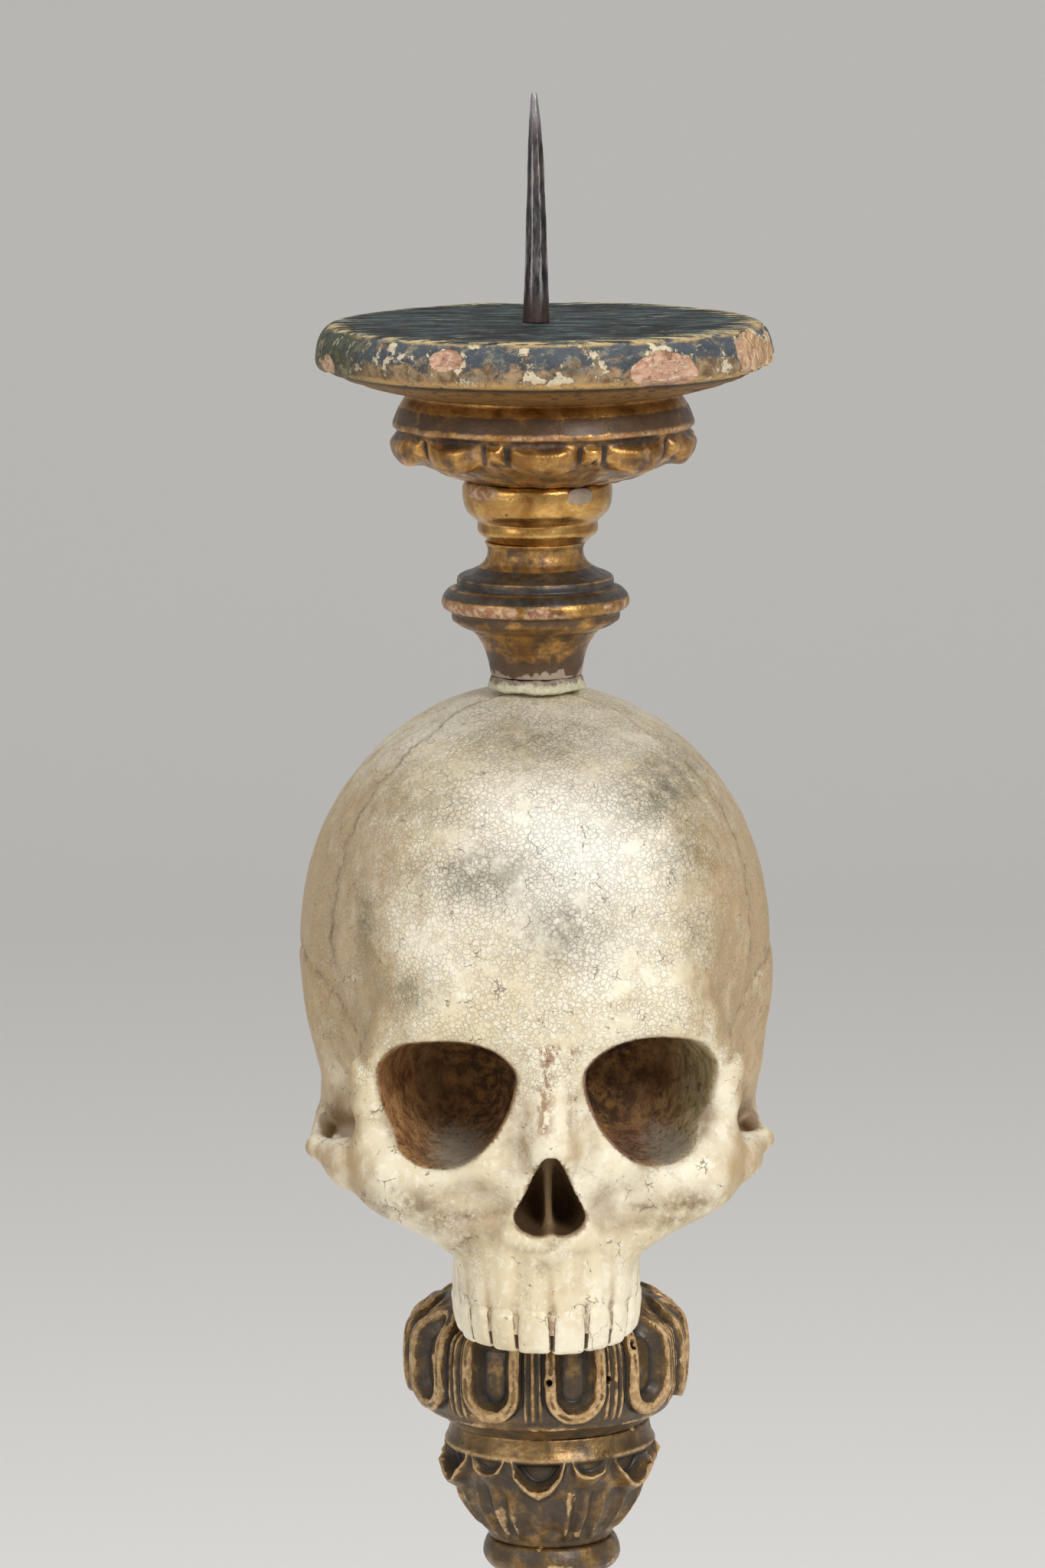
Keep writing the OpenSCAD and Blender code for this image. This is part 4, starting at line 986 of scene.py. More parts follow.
# Patches of dirt: place across and up in mm, half sizes, and strength.
grimePatches = [[30, 136, 16, 8, 1.0], [36, 122, 8, 12, 0.7], [-18, 118, 19, 9, 0.9], [4, 104, 12, 10, 0.8],
                [-29, 133, 15, 10, 0.5], [-34, 88, 7, 6, 0.8], [-46, 104, 2.2, 9, 1.0],
                [39, 101, 6, 10, 0.4], [-2, 148, 24, 7, 0.6], [36, 31, 11, 5, 1.0], [-35, 32, 13, 5.5, 1.0],
                [-22, 23, 6, 6, 0.9], [-44, 30, 8, 6, 0.7], [-40, 36, 1.6, 1.6, 0.9], [27, 41, 6, 3, 0.7],
                [30, 27, 9, 3.5, 1.0], [-28, 28, 8, 5, 1.0]]
# Dark brown stains in small hollows, written in the same way
stains = [[-20.5, 29.0, 4.5, 1.8, 0.9], [-15, 24, 1.6, 3, 0.5], [24, 30.6, 4.5, 1.3, 0.9],
          [-4, 21.5, 7, 0.8, 0.7], [5, 20.5, 5, 0.8, 0.6]]


# Strongest patch at each place: every patch falls off from its middle as a hump.
def patchesOf(x, z, patches):
    total = 0 * x
    for px, pz, wide, high, strength in patches:
        total = np.maximum(total, strength * hump(np.hypot((x - px) / wide, (z - pz) / high), 0.85))
    return total


# What the paint follows: how far each point lies inside the uncut bone, the walls of the
# sockets and the nose, patches of dirt, the joints, and how shut in a point is: the share by
# which the bone comes nearer than it would over a flat face, 4 mm and 12 mm out.
def skullMarks(points):
    x, y, z = points.T
    inside = -wholeBone(x, y, z)
    slope = slopeOf(boneGap, points)
    normal = slope / np.maximum(np.linalg.norm(slope, axis=1, keepdims=True), 1e-6)
    shut = sum(1 - boneGap(*(points + normal * k).T) / k for k in (4, 12)) / 2
    socket = ease(1.4, 0.2, socketGap(x, y, z)) * (z > 38) * (y < -10)
    outward = np.abs(x) - skullLook["socketMiddle"][0]
    nose = ease(0.9, 0.1, noseGap(x, y, z)) * ease(0.3, 1.2, inside) * (z < 50) * (np.abs(x) < 12)
    nose = np.maximum(nose, ease(2, 4, inside) * (z < 47) * (z > 22) * (np.abs(x) < 3) * (y < -36))
    front = ease(20, -10, y)
    joint = hump((frontJoint(x, y, z) + 1.4) / (0.8 + np.abs(x) / 28), 1) * ease(84, 92, z)
    reach, near = sideScale(x, y, z)
    joint = np.maximum(joint, 0.6 * hump((reach - 1.03) * 33, 1.2) * near)
    gapLine, rootGrooveShade = 0 * x, 0 * x
    for tx, ty, turn, width in toothPlaces():
        a = math.radians(turn)
        across = (np.abs(x) - tx) * math.cos(a) - (ty - y) * math.sin(a)
        edge = hump(np.abs(across) - width / 2, 0.6 + 0.5 * hump(z - 4, 1.4))
        edge = edge * hump(lengthOf(np.abs(x) - tx, y - ty), 9)
        gapLine = np.maximum(gapLine, edge * ease(8.5, 5.5, z) * (y < -36))
        # lines between the ridges over the roots, for painted shade
        rootGrooveShade = np.maximum(rootGrooveShade, edge * ease(24, 14, z) * (y < -36))
    runs = hump(x + 1.5 - 0.06 * (z - 60), 2.2) * ease(76, 71, z) + 0.6 * hump(x - 4.9, 1.0) * ease(75, 71, z)
    bridge = (hump(z - 73.4, 1.7) * hump(x, 9) + runs * ease(50, 54, z)) * (y < -50)
    dust = hump(z - 43, 5.5) * hump(x - np.where(x < 0, -22, 33), 10)
    return {"socket": socket, "deep": np.clip(inside / 24, 0, 1), "nose": nose, "joint": joint,
            "gapLine": gapLine, "rootGrooveShade": rootGrooveShade,
            "grime": patchesOf(x, z, grimePatches) * front,
            "stain": patchesOf(x, z, stains) * front * (y < -40),
            # how shut in a point is, for dirt and painted shade in recesses
            "bridge": np.clip(bridge, 0, 1), "shut": np.clip(shut, 0, 1) * ease(-6, 26, z),
            # how much a point faces to either side, for painted shade on the sides
            "side": normal[:, 0] ** 2 * ease(16, 34, z),
            # where a painted highlight lies on the middle of the forehead
            "crown": hump(np.hypot((x - 2) / 30, (z - 120) / 26), 0.9) * front,
            "warmWall": (x < 0) * ease(1, 11, outward), "paleWall": (x > 0) * ease(5, 14, outward),
            "redWall": (x > 0) * ease(5, -7, outward),
            "ridge": hump(x + 0.3, 1.3) * (z < 47) * (z > 21), "dust": dust * ease(0.0, 1.0, inside)}


# Thin lines between cells of about this many millimetres: 1 on a line, 0 beside it.
def crackLines(point, size, width):
    cells = addNode("TexVoronoi", {"Vector": point, "Scale": 1000 / size}, feature="DISTANCE_TO_EDGE")
    return between(cells.outputs["Distance"], width, 0.0)


# Ivory paint over gesso, crazed into small cells, greyed by dirt on the forehead, brown in
# hollows from dirt and painted shade, darker on its sides as painted shade, with a painted
# highlight on the forehead, and orange-brown in the sockets.
def boneMaterial(name, teeth=False):
    material, shader = startMaterial(name)
    wear = marked("wear")
    mottle = noiseOf(6, 5, 0.62, shift=(3, 3, 1))
    colour = blendColour(patchy(0.38, 0.62, 30, 3, 0.5), tint(224, 208, 172), tint(240, 230, 204))
    colour = layer(colour, between(mottle, 0.46, 0.7), 0.42, tint(208, 188, 150))
    pale = patchy(0.5, 0.66, 2.4, 5, 0.65, shift=(1, 1, 8))
    colour = layer(colour, pale, 0.5, tint(250, 245, 230))
    # painted highlight: near white on the middle of the forehead
    colour = layer(colour, marked("crown"), 0.6, tint(250, 249, 242))
    warp = addNode("TexNoise", {"Vector": placed(1.3), "Scale": 1.0, "Detail": 4.0})
    bend = addNode("VectorMath", {0: warp.outputs["Color"], 1: (0.5, 0.5, 0.5)}, operation="SUBTRACT")
    bend = addNode("VectorMath", {0: bend.outputs[0], "Scale": 0.0022}, operation="SCALE")
    point = {0: addNode("TexCoord").outputs["Object"], 1: bend.outputs[0]}
    point = addNode("VectorMath", point, operation="ADD").outputs[0]
    high = between(heightHere(), 345.0, 385.0)
    where = timesPlus(high, 0.2, noiseOf(9, 5, 0.65, shift=(6, 2, 4)))
    fineCracks = times(crackLines(point, 1.35, 0.12), between(where, 0.48, 0.72))
    longCracks = times(crackLines(point, 6.0, 0.018), patchy(0.55, 0.61, 6, 5, 0.65, shift=(2, 9, 4)))
    bubbles = addNode("TexVoronoi", {"Vector": placed(1.5), "Scale": 1.0, "Randomness": 1.0})
    bubbles = times(between(bubbles.outputs["Distance"], 0.45, 0.1), between(where, 0.5, 0.75))
    colour = layer(colour, bubbles, 0.5, tint(252, 249, 238))
    dirty = timesPlus(marked("grime"), 0.5, 0.22)
    colour = blendColour(times(fineCracks, dirty), colour, tint(128, 108, 76))
    colour = layer(colour, longCracks, 0.55, tint(104, 76, 46))
    if teeth:
        stain = timesPlus(noiseOf(1.4, 5, 0.7), 0.9, marked("gapLine"))
        colour = layer(colour, between(stain, 0.9, 1.3), 0.9, tint(88, 52, 28))
        height = timesPlus(longCracks, -0.5, times(mottle, 0.7))
        finishMaterial(shader, colour, 0.0, blendValue(mottle, 0.36, 0.5), height, 0.3)
        return material
    # painted shade: faces turned to either side are warmer and darker, mottled at random
    sideShade = timesPlus(marked("side"), 0.55, timesPlus(mottle, 0.6, -0.3))
    colour = layer(colour, between(sideShade, 0.05, 0.5), 0.8, tint(176, 144, 98))
    # shut-in places are browner: partly dirt, partly painted shade in the recesses
    hollow = frayed(marked("shut"), 0.45, 7, 5, 0.65, shift=(8, 8, 2))
    colour = layer(colour, between(hollow, 0.1, 0.52), 0.8, tint(128, 94, 54))
    groove = between(timesPlus(wear, -0.8, times(mottle, 0.6)), 0.5, 1.05)
    colour = layer(colour, groove, 0.45, tint(140, 104, 64))
    # painted shade: darker lines between the ridges over the roots of the teeth
    roots = times(marked("rootGrooveShade"), patchy(0.35, 0.6, 5, 4, 0.6, stretch=(1, 1, 3), shift=(2, 2, 6)))
    colour = layer(colour, roots, 0.6, tint(176, 144, 100))
    # dirt
    grime = times(marked("grime"), patchy(0.28, 0.62, 5, 7, 0.78, shift=(4, 1, 1)))
    dirt = blendColour(high, tint(116, 90, 50), tint(108, 103, 80))
    colour = layer(colour, grime, 0.88, dirt)
    line = times(marked("joint"), patchy(0.4, 0.58, 4, 5, 0.7, shift=(1, 4, 7)))
    line = calc("MAXIMUM", line, times(marked("gapLine"), patchy(0.42, 0.6, 2.2, 5, 0.7, shift=(3, 0, 0))))
    line = calc("MAXIMUM", line, times(marked("stain"), patchy(0.36, 0.54, 2.0, 6, 0.75, shift=(3, 6, 0))))
    colour = layer(colour, line, 0.8, tint(104, 62, 36))
    bridge = times(marked("bridge"), patchy(0.45, 0.53, 2.0, 6, 0.75, stretch=(1, 1, 1.6)))
    colour = layer(colour, bridge, 0.8, tint(136, 86, 42))
    specks = patchy(0.74, 0.79, 1.0, 3, 0.7, shift=(6, 6, 0))
    colour = layer(colour, specks, 0.7, tint(80, 60, 42))
    # sockets: each wall has its own browns, dark at the bottom, with grey dust where it can lie
    fibres = noiseOf(3.2, 7, 0.78, stretch=(1, 1, 1.8), shift=(7, 7, 7), warp=0.5)
    fibre = between(fibres, 0.36, 0.64)
    rust = blendColour(fibre, tint(104, 72, 40), tint(190, 148, 96))
    rust = blendColour(marked("redWall"), rust, blendColour(fibre, tint(96, 62, 44), tint(178, 132, 100)))
    rust = blendColour(marked("warmWall"), rust, blendColour(fibre, tint(122, 76, 38), tint(206, 154, 98)))
    deep = frayed(marked("deep"), 0.6, 7, 5, 0.7, shift=(0, 6, 3))
    bottom = patchy(0.4, 0.66, 3.5, 6, 0.75, shift=(2, 5, 2))
    bottom = blendColour(bottom, tint(78, 54, 30), tint(176, 128, 72))
    rust = blendColour(between(deep, 0.25, 0.85), rust, bottom)
    shallow = times(marked("paleWall"), between(deep, 0.75, 0.2))
    rust = layer(rust, shallow, 0.9, blendColour(fibre, tint(158, 136, 88), tint(216, 202, 156)))
    dust = between(timesPlus(noiseOf(1.8, 8, 0.85, shift=(1, 1, 5)), 3.0, marked("dust")), 1.85, 2.45)
    rust = layer(rust, dust, 0.75, tint(176, 170, 152))
    rim = between(frayed(marked("socket"), 1.0, 2.6, 6, 0.75, shift=(5, 1, 3)), 0.25, 0.85)
    colour = blendColour(rim, colour, rust)
    pits = patchy(0.6, 0.68, 2.4, 5, 0.72, shift=(3, 8, 6))
    colour = layer(colour, times(pits, rim), 0.75, tint(38, 28, 20))
    nose = marked("nose")
    noseColour = blendColour(noiseOf(3, 6, 0.75), tint(40, 27, 14), tint(128, 92, 48))
    noseColour = layer(noseColour, marked("ridge"), 0.8, tint(172, 142, 100))
    colour = blendColour(between(nose, 0.1, 0.8), colour, noseColour)
    cover = calc("MAXIMUM", rim, nose, clamp=True)
    rough = blendValue(cover, blendValue(mottle, 0.38, 0.54), 0.75)
    height = timesPlus(fineCracks, -0.3, times(mottle, 0.7))
    height = timesPlus(longCracks, -0.8, height)
    height = timesPlus(bubbles, 0.4, height)
    height = timesPlus(times(cover, fibres), 2.6, height)
    finishMaterial(shader, colour, 0.0, rough, height, 0.4)
    return material


# The skull: its field on a grid in slabs that spare memory, the skin of it, two slides along the
# slope that bring each point onto the surface, and the marks.
def makeSkull():
    look = skullLook
    low, high, h = np.array(look["low"], float), np.array(look["high"], float), look["spacing"]
    sides = [np.arange(a, b + h, h, dtype=np.float32) for a, b in zip(low, high)]
    x, y, z = np.meshgrid(*sides, indexing="ij", sparse=True)
    values = np.empty([len(side) for side in sides], np.float32)
    for start in range(0, len(sides[0]), look["slab"]):
        part = slice(start, start + look["slab"])
        values[part] = boneGap(*np.broadcast_arrays(x[part], y, z))
    report("skull field")
    points, quads = skinOf(values, low, h)
    for _ in range(2):
        slope = slopeOf(boneGap, points)
        step = boneGap(*points.T)[:, None] * slope / np.maximum((slope ** 2).sum(1, keepdims=True), 0.3)
        points = points - np.clip(step, -h / 2, h / 2)
    none = np.zeros((0, 3), int)
    marks = skullMarks(points)
    marks["wear"] = standOut(points, quads, none, look["blurRounds"])
    makePiece("skull_bone", toStem(points), quads, none, boneMaterial("bonePaint"), ["skull"],
              marks)


toothLook = {
    "rows": 34, "columns": 36, "low": -6.4, "height": 13.6, "thick": 6.4, "uneven": 0.5, "power": 2 / 2.8,
    "rowPower": 1.15, "rise": 0.32, "sink": 1.2, "blurRounds": 8,
    # share of the whole width and thickness, from the edge that bites up to the root
    "wideShare": [[0, 0.64], [0.02, 0.88], [0.06, 0.98], [0.16, 1.03], [0.45, 1.04], [0.78, 0.97],
                  [0.92, 0.84], [1, 0.6]],
    "thickShare": [[0, 0.3], [0.03, 0.5], [0.1, 0.68], [0.35, 0.9], [0.7, 1.0], [0.88, 0.9], [1, 0.6]],
}


# A tooth: level cuts that are squarish ovals, widest near the edge that bites and thinnest there
# from front to back, stacked up and stood on the arch.
def makeTeeth():
    look = toothLook
    chance = np.random.default_rng(31)
    rows, columns = look["rows"], look["columns"]
    turn, v = roundGrid(columns, np.linspace(0, 1, rows) ** look["rowPower"])
    wideShare = np.interp(v, *np.array(look["wideShare"]).T)
    thickShare = np.interp(v, *np.array(look["thickShare"]).T)
    u, w = (np.sign(part) * np.abs(part) ** look["power"] for part in (np.sin(turn), np.cos(turn)))
    allPoints, allQuads, allTriangles, edges = [], [], [], []
    quads, triangles = gridFaces(rows, columns)
    for side in (-1, 1):
        for i, (tx, ty, degrees, width) in enumerate(toothPlaces()):
            drop, lean = chance.uniform(-look["uneven"], look["uneven"], 2)
            half = width * 0.5 * (1.0 + 0.02 * drop)
            across = u * half * wideShare + 0.25 * lean * (v - 0.5)
            forward = w * look["thick"] / 2 * (1 - 0.03 * i) * thickShare + 0.5 * v - 0.15 * lean
            a = math.radians(degrees)
            x = tx + across * math.cos(a) + forward * math.sin(a)
            y = ty + across * math.sin(a) - forward * math.cos(a)
            z = look["low"] + look["rise"] * i + 0.7 * drop + look["height"] * v
            z = z + 0.25 * hump(across, half * 0.8) * hump(v, 0.1)
            sink = look["sink"] * ease(0.62, 1, v)      # the root sinks into the bone
            x, y = x - sink * math.sin(a), y + sink * math.cos(a)
            rough = 0.12 * roughGrain(x + 9 * i, y, z, 3, 5)
            grid = np.stack([side * (x + rough * np.sin(a)), y - rough, z], -1).reshape(-1, 3)
            centre = [[side * tx, ty, z[0].mean() - 0.15], [side * tx, ty, z[-1].mean()]]
            offset = sum(len(p) for p in allPoints)
            allPoints.append(np.concatenate([grid, centre]))
            flip = slice(None, None, -1) if side < 0 else slice(None)
            allQuads.append(quads[:, flip] + offset)
            allTriangles.append(triangles[:, flip] + offset)
            stained = np.maximum(ease(0.8, 0.97, np.abs(u)),
                                 0.5 * hump(v - 0.78, 0.1) * ease(0.3, 0.8, np.abs(u)))
            edges.append(np.concatenate([(stained * ease(0.0, 0.12, v)).ravel(), [0, 1]]))
    points, quads, triangles = (np.concatenate(a) for a in (allPoints, allQuads, allTriangles))
    marks = {"gapLine": np.clip(np.concatenate(edges), 0, 1),
             "wear": standOut(points, quads, triangles, look["blurRounds"])}
    makePiece("skull_teeth", toStem(points), quads, triangles, boneMaterial("toothPaint", True), [],
              marks)


cupLook = {
    "profile": [[0, 261.5], [26.5, 261.5], [27.2, 262.4], [28.9, 263.8], [31, 265.3], [32.6, 266.8],
                [34, 268], [34.9, 269.2], [35.7, 272], [36.1, 275], [36.3, 280.5], [36, 285], [35.5, 287.2],
                [34.2, 288.9], [32, 290.3], [30.2, 292], [28, 293.8], [25.4, 295.5], [24, 297.5], [23, 300],
                [0, 300]],
    "step": 0.36, "soften": 0.4, "columns": 580, "uneven": 0.25, "blurRounds": 18,
    "panels": 10, "first": 12.0, "middle": 281.5, "straight": 5.3, "halfWide": 5.0, "pitch": 22.8,
    "belly": 37,
    # turn in degrees, height and radius in mm of the worm holes
    "worms": [[0.8, 279.5, 0.95], [26, 279, 1.1], [38, 287, 1.1], [43, 280, 0.7], [-60, 281, 0.9],
              [140, 276, 1.0], [205, 284, 0.9]],
}


# Distance of each point from each worm hole in millimetres, with the hole's radius.
def wormPlaces(turn, z):
    return [(np.hypot(sideOf(turn, degrees) * cupLook["belly"], z - height), radius)
            for degrees, height, radius in cupLook["worms"]]


# Cup: in each repeat a long oval is dished out, with a raised rim round it and a groove round
# the rim, then a thin rib, and a thicker one half way to the next. Worm holes are deep pits.
def cupRelief(turn, z):
    look = cupLook
    t = within(turn, look["panels"], look["first"]) + 0.012 * np.sin(4 * turn + 0.6)
    away = np.abs(t) * look["pitch"]
    gap = np.hypot(away, np.maximum(np.abs(z - look["middle"]) - look["straight"], 0)) - look["halfWide"]
    dish = -2.6 * ease(0.3, -2.2, gap)
    rim = 1.7 * ease(-0.2, 0.5, gap) * ease(3.4, 2.6, gap) - 0.9 * hump(gap - 3.7, 0.35)
    beside = look["pitch"] / 2 - away
    ribs = 0.9 * hump(beside, 0.75) + 0.7 * hump(beside - 2.1, 0.45) - 0.6
    fade = ease(266.5, 269.5, z) * ease(296, 292, z)
    total = dish + rim * fade + ribs * ease(3.9, 4.3, gap) * fade + 0.7 * hump(z - 266, 0.8)
    for away, radius in wormPlaces(turn, z):
        total = total - 3.0 * ease(radius, radius * 0.55, away)
    return total


# Marks of the cup: black in the worm holes.
def cupMarks(turn, z):
    holes = [ease(radius * 1.05, radius * 0.8, away) for away, radius in wormPlaces(turn, z)]
    return {"hole": np.maximum.reduce(holes)}


vaseLook = {
    "profile": [[0, 229.5], [16, 229.5], [16.7, 231.3], [18.2, 233.1], [20.3, 235.8], [22, 238.2],
                [23.4, 240.5], [24.4, 243.7], [25.2, 246.5], [25.8, 249.4], [26.2, 252.5], [26.9, 254.5],
                [28, 255.9], [27, 257.7], [26.5, 259.6], [26.3, 261.5], [0, 261.5]],
    "step": 0.32, "soften": 0.4, "columns": 660, "uneven": 0.22, "blurRounds": 16, "shift": (0.7, 0),
    "leaves": 6, "first": -7.0,
}


# A leaf's curled lip along a line: it swells slowly below the line and falls off above it.
def leafLip(z, line, below, above):
    return np.where(z < line, hump(line - z, below), hump(z - line, above))


# Vase: a large leaf in each repeat, whose lip is lowest in the middle and rises to both sides,
# with a hollow over it, and a small leaf between each two. Ribs and flutes run down the body.
def vaseRelief(turn, z):
    look = vaseLook
    t = np.abs(within(turn, look["leaves"], look["first"]) + 0.01 * np.sin(5 * turn))
    line = 248 + 6 * (t / 0.235) ** 2
    total = 4.0 * leafLip(z, line, 2.4, 0.8) * ease(0.27, 0.2, t)
    total = total - 1.5 * ease(0.6, 2.0, z - line) * ease(255, 253.5, z) * ease(0.24, 0.17, t)
    small = np.abs(within(turn, look["leaves"], look["first"] + 30) + 0.01 * np.sin(5 * turn))
    total = total + 2.4 * leafLip(z, 251.5 + 2.5 * (small / 0.14) ** 2, 3.0, 0.7) * ease(0.19, 0.12, small)
    body = ease(231.5, 234.5, z) * ease(248.5, 244.5, z)
    ribs = 0.85 * hump(t - 0.31, 0.035) + 0.5 * hump(t - 0.5, 0.05) - 0.9 * hump(t - 0.41, 0.045)
    flutes = -1.1 * hump(t - 0.15, 0.09) + 0.35 * hump(t, 0.03)
    return total + body * (ribs + flutes)


# Marks of the vase: painted shade, as thicker patina, in the hollow above the lips under the cup,
# and clean gilding on the band over it.
def vaseMarks(turn, z):
    t = np.abs(within(turn, vaseLook["leaves"], vaseLook["first"]))
    line = 248 + 6 * np.minimum(t / 0.235, 1) ** 2
    # painted shade: thicker patina in the hollow between the leaf lips and the cup
    shade = 0.3 * ease(0.5, 1.5, z - line) * ease(255.6, 254.8, z) - 0.16 * ease(255.8, 256.6, z)
    torn = grain(28 * np.sin(turn), -28 * np.cos(turn), z, 5, 3)
    return {"bare": 0.9 * hump(z - 256.1, 0.4) * ease(-0.6, 0.2, torn), "shade": shade}


knopLook = {
    "profile": [[0, 220], [13.6, 220], [14.8, 220.9], [16.7, 222], [17.9, 223.6], [18.3, 225], [18, 227],
                [17.3, 228.8], [16.7, 229.5], [0, 229.5]],
    "step": 0.3, "soften": 0.35, "columns": 400, "uneven": 0.2, "blurRounds": 14, "shift": (1.0, 0),
}
balusterLook = {
    "profile": [[0, 133], [17.6, 133], [18.3, 135.4], [17.2, 137.9], [15.1, 139.2], [16, 141.8], [20.8, 147],
                [25.7, 154], [28.1, 160.8], [28.5, 166], [27.6, 172], [24, 180.8], [19.4, 189.5],
                [15.7, 198.2], [13.3, 207], [12.3, 213.8], [12.7, 217.4], [13.5, 220], [0, 220]],
    "step": 0.5, "soften": 0.7, "columns": 360, "uneven": 0.25, "blurRounds": 14,
}
lowerRingLook = {
    "profile": [[0, 122], [20.8, 122], [21.6, 123.1], [24.7, 124.2], [26, 126.4], [25.8, 128.6],
                [22.9, 130.8], [20.3, 131.9], [19.5, 133], [0, 133]],
    "step": 0.4, "soften": 0.4, "columns": 360, "uneven": 0.2, "blurRounds": 12,
}
capLook = {
    "profile": [[0, 110], [33.3, 110], [35.5, 111.2], [37, 113], [36.6, 114.8], [34.4, 116], [31.8, 116.6],
                [28.1, 118.4], [25.9, 120.2], [25.1, 122], [0, 122]],
    "step": 0.45, "soften": 0.4, "columns": 360, "uneven": 0.2, "blurRounds": 12,
}
footLook = {
    "profile": [[0, 0], [11.4, 0], [13.3, 1.5], [16, 4.5], [18.2, 9], [19, 12.6], [18.4, 16.5], [16.3, 20.4],
                [12.9, 23.4], [11.8, 24.6], [12.2, 26.4], [14.1, 27.9], [14.8, 30], [0, 30]],
    "step": 0.5, "soften": 0.5, "columns": 150, "uneven": 0.2, "blurRounds": 10, "reach": 70.0,
}
baseLook = {
    "pedestalLow": 43.0, "pedestalHigh": 110.0, "pedestalReach": 91.0, "plinthLow": 30.0, "plinthHigh": 43.0,
    "plinthReach": 105.0,
    "side": 0.5, "hollow": 0.1, "corner": 0.876, "columns": 450, "uneven": 0.25, "step": 0.7, "soften": 0.35,
    "blurRounds": 14,
    "pedestal": [[0, 1], [0.05, 1], [0.08, 0.95], [0.14, 0.82], [0.24, 0.68], [0.38, 0.565], [0.55, 0.48],
                 [0.72, 0.43], [0.86, 0.41], [0.93, 0.42], [1, 0.46]],
    "plan": [[0, 1], [0.3, 0.9], [1, 0.3]],
    "plinth": [[0, 0.985], [0.03, 1], [0.52, 1], [0.55, 0.985], [0.56, 0.965], [0.69, 0.965], [0.7, 0.955],
               [0.71, 0.93], [0.84, 0.93], [0.85, 0.92], [0.86, 0.88], [1, 0.88]],
}


# Three-sided plan: the reach of a straight side, hollowed in its middle, and never past the
# round that blunts the corners. The corners lie to the back and to the front left and right.
def planReach(turn):
    look = baseLook
    t = np.abs(within(turn, 3)) * 2 * math.pi / 3
    side = look["side"] / np.cos(t) * (1 - look["hollow"] * np.cos(1.5 * t))
    return softJoin(side, look["corner"] + 0 * side, 0.05)


# A three-sided piece: rows of the plan, larger or smaller with the height.
def makeSided(name, node, planShares, material):
    look = baseLook
    low, high, reach = look[node + "Low"], look[node + "High"], look[node + "Reach"]
    shares = [[0, 0]] + look[node] + [[1, 0]]
    size, v = evenProfile([[s * reach, v * (high - low)] for v, s in shares], look["step"], look["soften"])
    turn, z = roundGrid(look["columns"], v)
    blend = np.interp(z / (high - low), *np.array(planShares).T)
    share = look["corner"] * (1 - blend) + planReach(turn) * blend
    r = size[:, None] * share
    x, y = r * np.sin(turn), -r * np.cos(turn)
    r = r + handWork(look, x, y, z) * ease(4, 12, r)
    points = np.stack([r * np.sin(turn), -r * np.cos(turn), z + low], -1).reshape(-1, 3)
    points = np.concatenate([points, [[0, 0, low], [0, 0, high]]])
    quads, triangles = gridFaces(*turn.shape)
    marks = {"wear": standOut(points, quads, triangles, look["blurRounds"])}
    makePiece(name, points, quads, triangles, material, [node], marks)


for node in ("neck_dowel", "cup_dowel", "base_dowel", "peg_left", "peg_right", "peg_back"):
    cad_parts[node].data.materials.clear()
    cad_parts[node].data.materials.append(bpy.data.materials.get("bareWood") or woodMaterial())

makeSpike()
turnedPiece("pan", panLook, panMaterial(), "drip_pan", panRelief, panMarks)
bronzeMaterial = giltMaterial("bronzedGilding", bronzed)
goldMaterial = giltMaterial("burnishedGilding", burnished)
darkMaterial = giltMaterial("darkGilding", darkGilt)
turnedPiece("collar", collarLook, bronzeMaterial, "pan_collar", collarRelief, collarMarks)
turnedPiece("bulb", bulbLook, addNeckPaint(giltMaterial("bulbGilding", burnished)), "neck_bulb",
            bulbRelief, bulbMarks)
turnedPiece("neck", neckLook, addNeckPaint(giltMaterial("neckGilding", bronzed)), "neck_ring",
            None, neckMarks)
turnedPiece("bead", beadLook, fillerMaterial(), "filler_bead", beadRelief)
makeSkull()
makeTeeth()
turnedPiece("cup", cupLook, darkMaterial, "gadroon_cup", cupRelief, cupMarks)
turnedPiece("vase", vaseLook, darkMaterial, "leaf_vase", vaseRelief, vaseMarks)
turnedPiece("knop", knopLook, darkMaterial, "ring_knop")
turnedPiece("pear", balusterLook, bronzeMaterial, "baluster")
turnedPiece("low_ring", lowerRingLook, goldMaterial, "lower_ring")
turnedPiece("cap", capLook, darkMaterial, "pedestal_cap")
makeSided("three_sided_pedestal", "pedestal", baseLook["plan"], bronzeMaterial)
makeSided("stepped_plinth", "plinth", [[0, 1], [1, 1]], darkMaterial)
for name, degrees in (("foot_left", -60), ("foot_right", 60), ("foot_back", 180)):
    a, reach = math.radians(degrees), footLook["reach"]
    look = dict(footLook, shift=(reach * math.sin(a), -reach * math.cos(a)))
    turnedPiece("bun_" + name, look, darkMaterial, name)


stageLook = {"half": 4.0, "back": 2.2, "bend": 1.2, "wall": 3.2, "colour": tint(236, 234, 230), "steps": 16,
             "rough": 0.9, "sheen": 0.1}


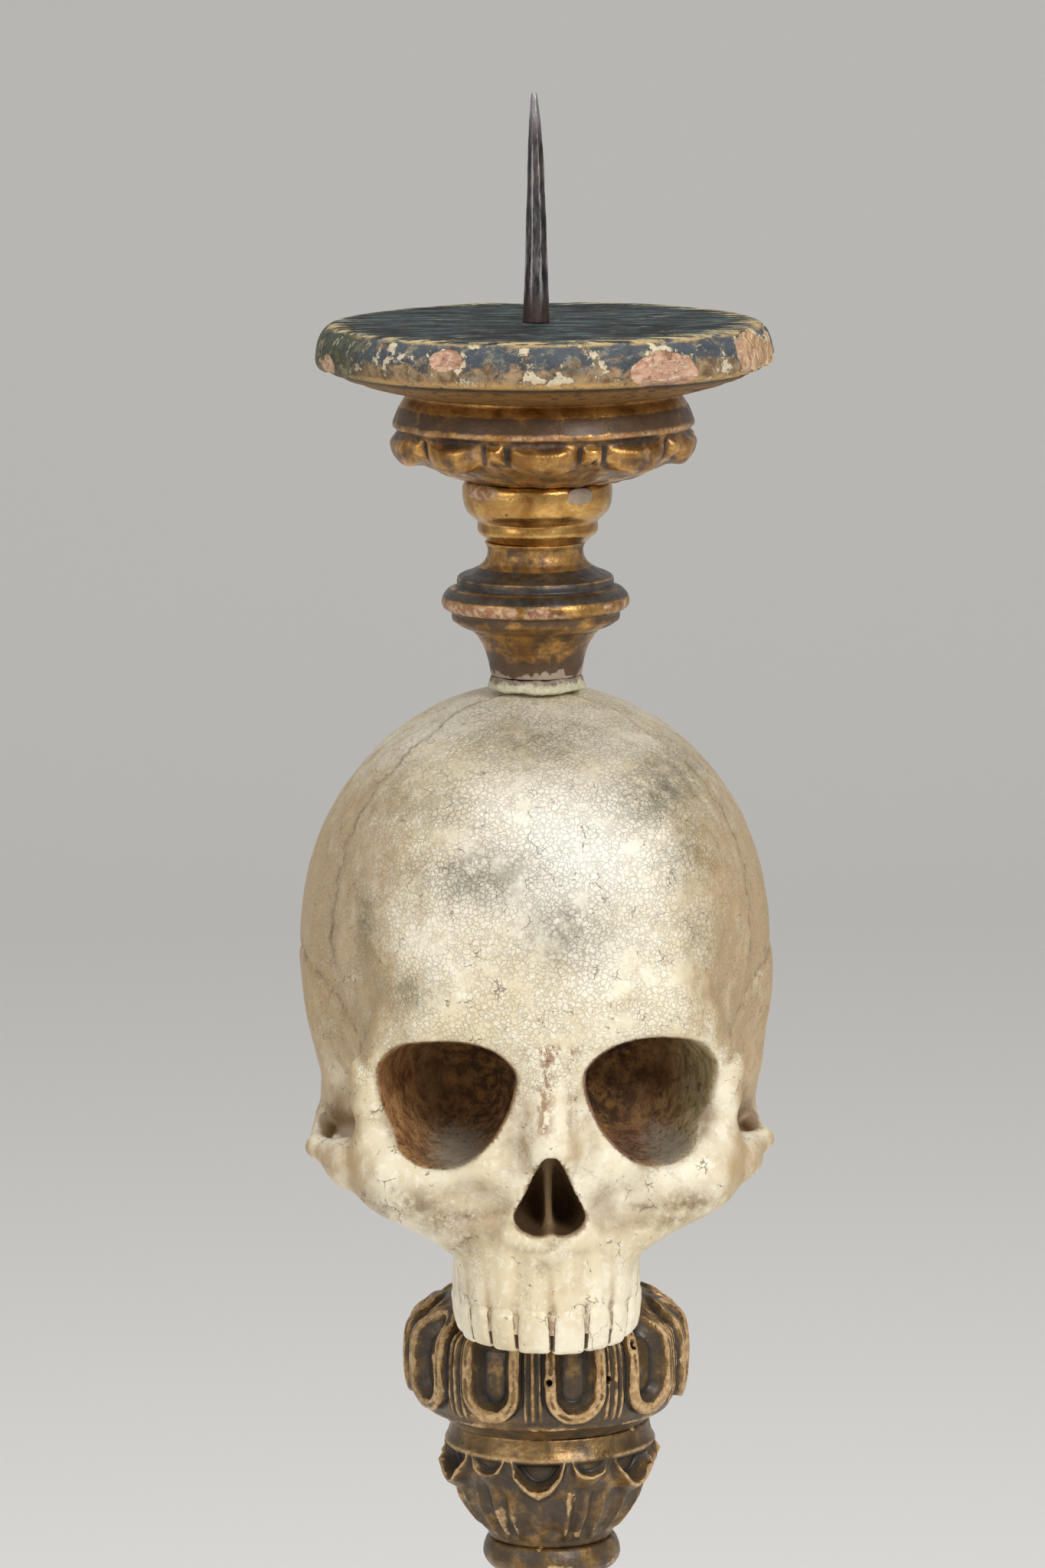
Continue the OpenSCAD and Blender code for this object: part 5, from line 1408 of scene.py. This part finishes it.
# Floor and backdrop in one sheet: level to the bend, round through a quarter circle, then up.
def makeStage():
    look = stageLook
    bend = np.linspace(0, math.pi / 2, look["steps"])
    back = look["back"] + look["bend"]
    y = np.concatenate([[-look["half"]], look["back"] + look["bend"] * np.sin(bend), [back]])
    z = np.concatenate([[0], look["bend"] * (1 - np.cos(bend)), [look["wall"]]])
    x = np.array([-look["half"], look["half"]])
    points = np.array([[a, b, c] for b, c in zip(y, z) for a in x])
    mesh = bpy.data.meshes.new("studio")
    faces = [[2 * i, 2 * i + 1, 2 * i + 3, 2 * i + 2] for i in range(len(y) - 1)]
    mesh.from_pydata(points.tolist(), [], faces)
    mesh.shade_smooth()
    material, shader = startMaterial("studioPaper")
    shader.inputs["Base Color"].default_value = look["colour"]
    shader.inputs["Roughness"].default_value = look["rough"]
    shader.inputs["Specular IOR Level"].default_value = look["sheen"]
    mesh.materials.append(material)
    studio = bpy.data.objects.new("studio", mesh)
    bpy.context.scene.collection.objects.link(studio)


# place, aim, size in metres and power in watts of the soft lamps
lamps = {
    "keyLamp": [(0.85, -1.45, 1.35), (0, 0, 0.4), 0.6, 21],
    "fillLamp": [(-1.3, -1.1, 0.9), (0, 0, 0.4), 0.8, 5],
    "topLamp": [(-0.1, 0.1, 1.75), (0, 0, 0.4), 0.9, 10],
}
worldStrength = 0.44


# Square lamps that face their aims, and an even white world.
def makeLight():
    for name, (place, aim, size, power) in lamps.items():
        light = bpy.data.lights.new(name, "AREA")
        light.shape = "SQUARE"
        light.size = size
        light.energy = power
        lamp = bpy.data.objects.new(name, light)
        lamp.location = place
        lamp.rotation_euler = (Vector(aim) - Vector(place)).to_track_quat("-Z", "Y").to_euler()
        bpy.context.scene.collection.objects.link(lamp)
    world = bpy.data.worlds.new("studioWorld")
    bpy.context.scene.world = world
    world.use_nodes = True
    world.node_tree.nodes["Background"].inputs["Color"].default_value = (1, 1, 1, 1)
    world.node_tree.nodes["Background"].inputs["Strength"].default_value = worldStrength


cameraLook = {"place": (-0.00515, -1.9, 0.735), "aim": (-0.00515, 0, 0.431), "pixelFocal": 9620.0,
              "longSide": 2048, "roll": 0.45}


# The camera: its lens is the focal length in pixels over the picture's long side, times the
# sensor's width, and it is rolled a little about its view.
def makeCamera():
    look = cameraLook
    camera = bpy.data.cameras.new("photoCamera")
    camera.sensor_width = 36.0
    camera.lens = look["pixelFocal"] / look["longSide"] * camera.sensor_width
    holder = bpy.data.objects.new("photoCamera", camera)
    holder.location = look["place"]
    view = (Vector(look["aim"]) - Vector(look["place"])).to_track_quat("-Z", "Y").to_matrix()
    holder.rotation_euler = (view @ Matrix.Rotation(math.radians(-look["roll"]), 3, "Z")).to_euler()
    bpy.context.scene.collection.objects.link(holder)
    bpy.context.scene.camera = holder


makeStage()
makeLight()
makeCamera()
bpy.context.scene.view_settings.view_transform = "Standard"

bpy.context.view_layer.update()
report("scene ready")
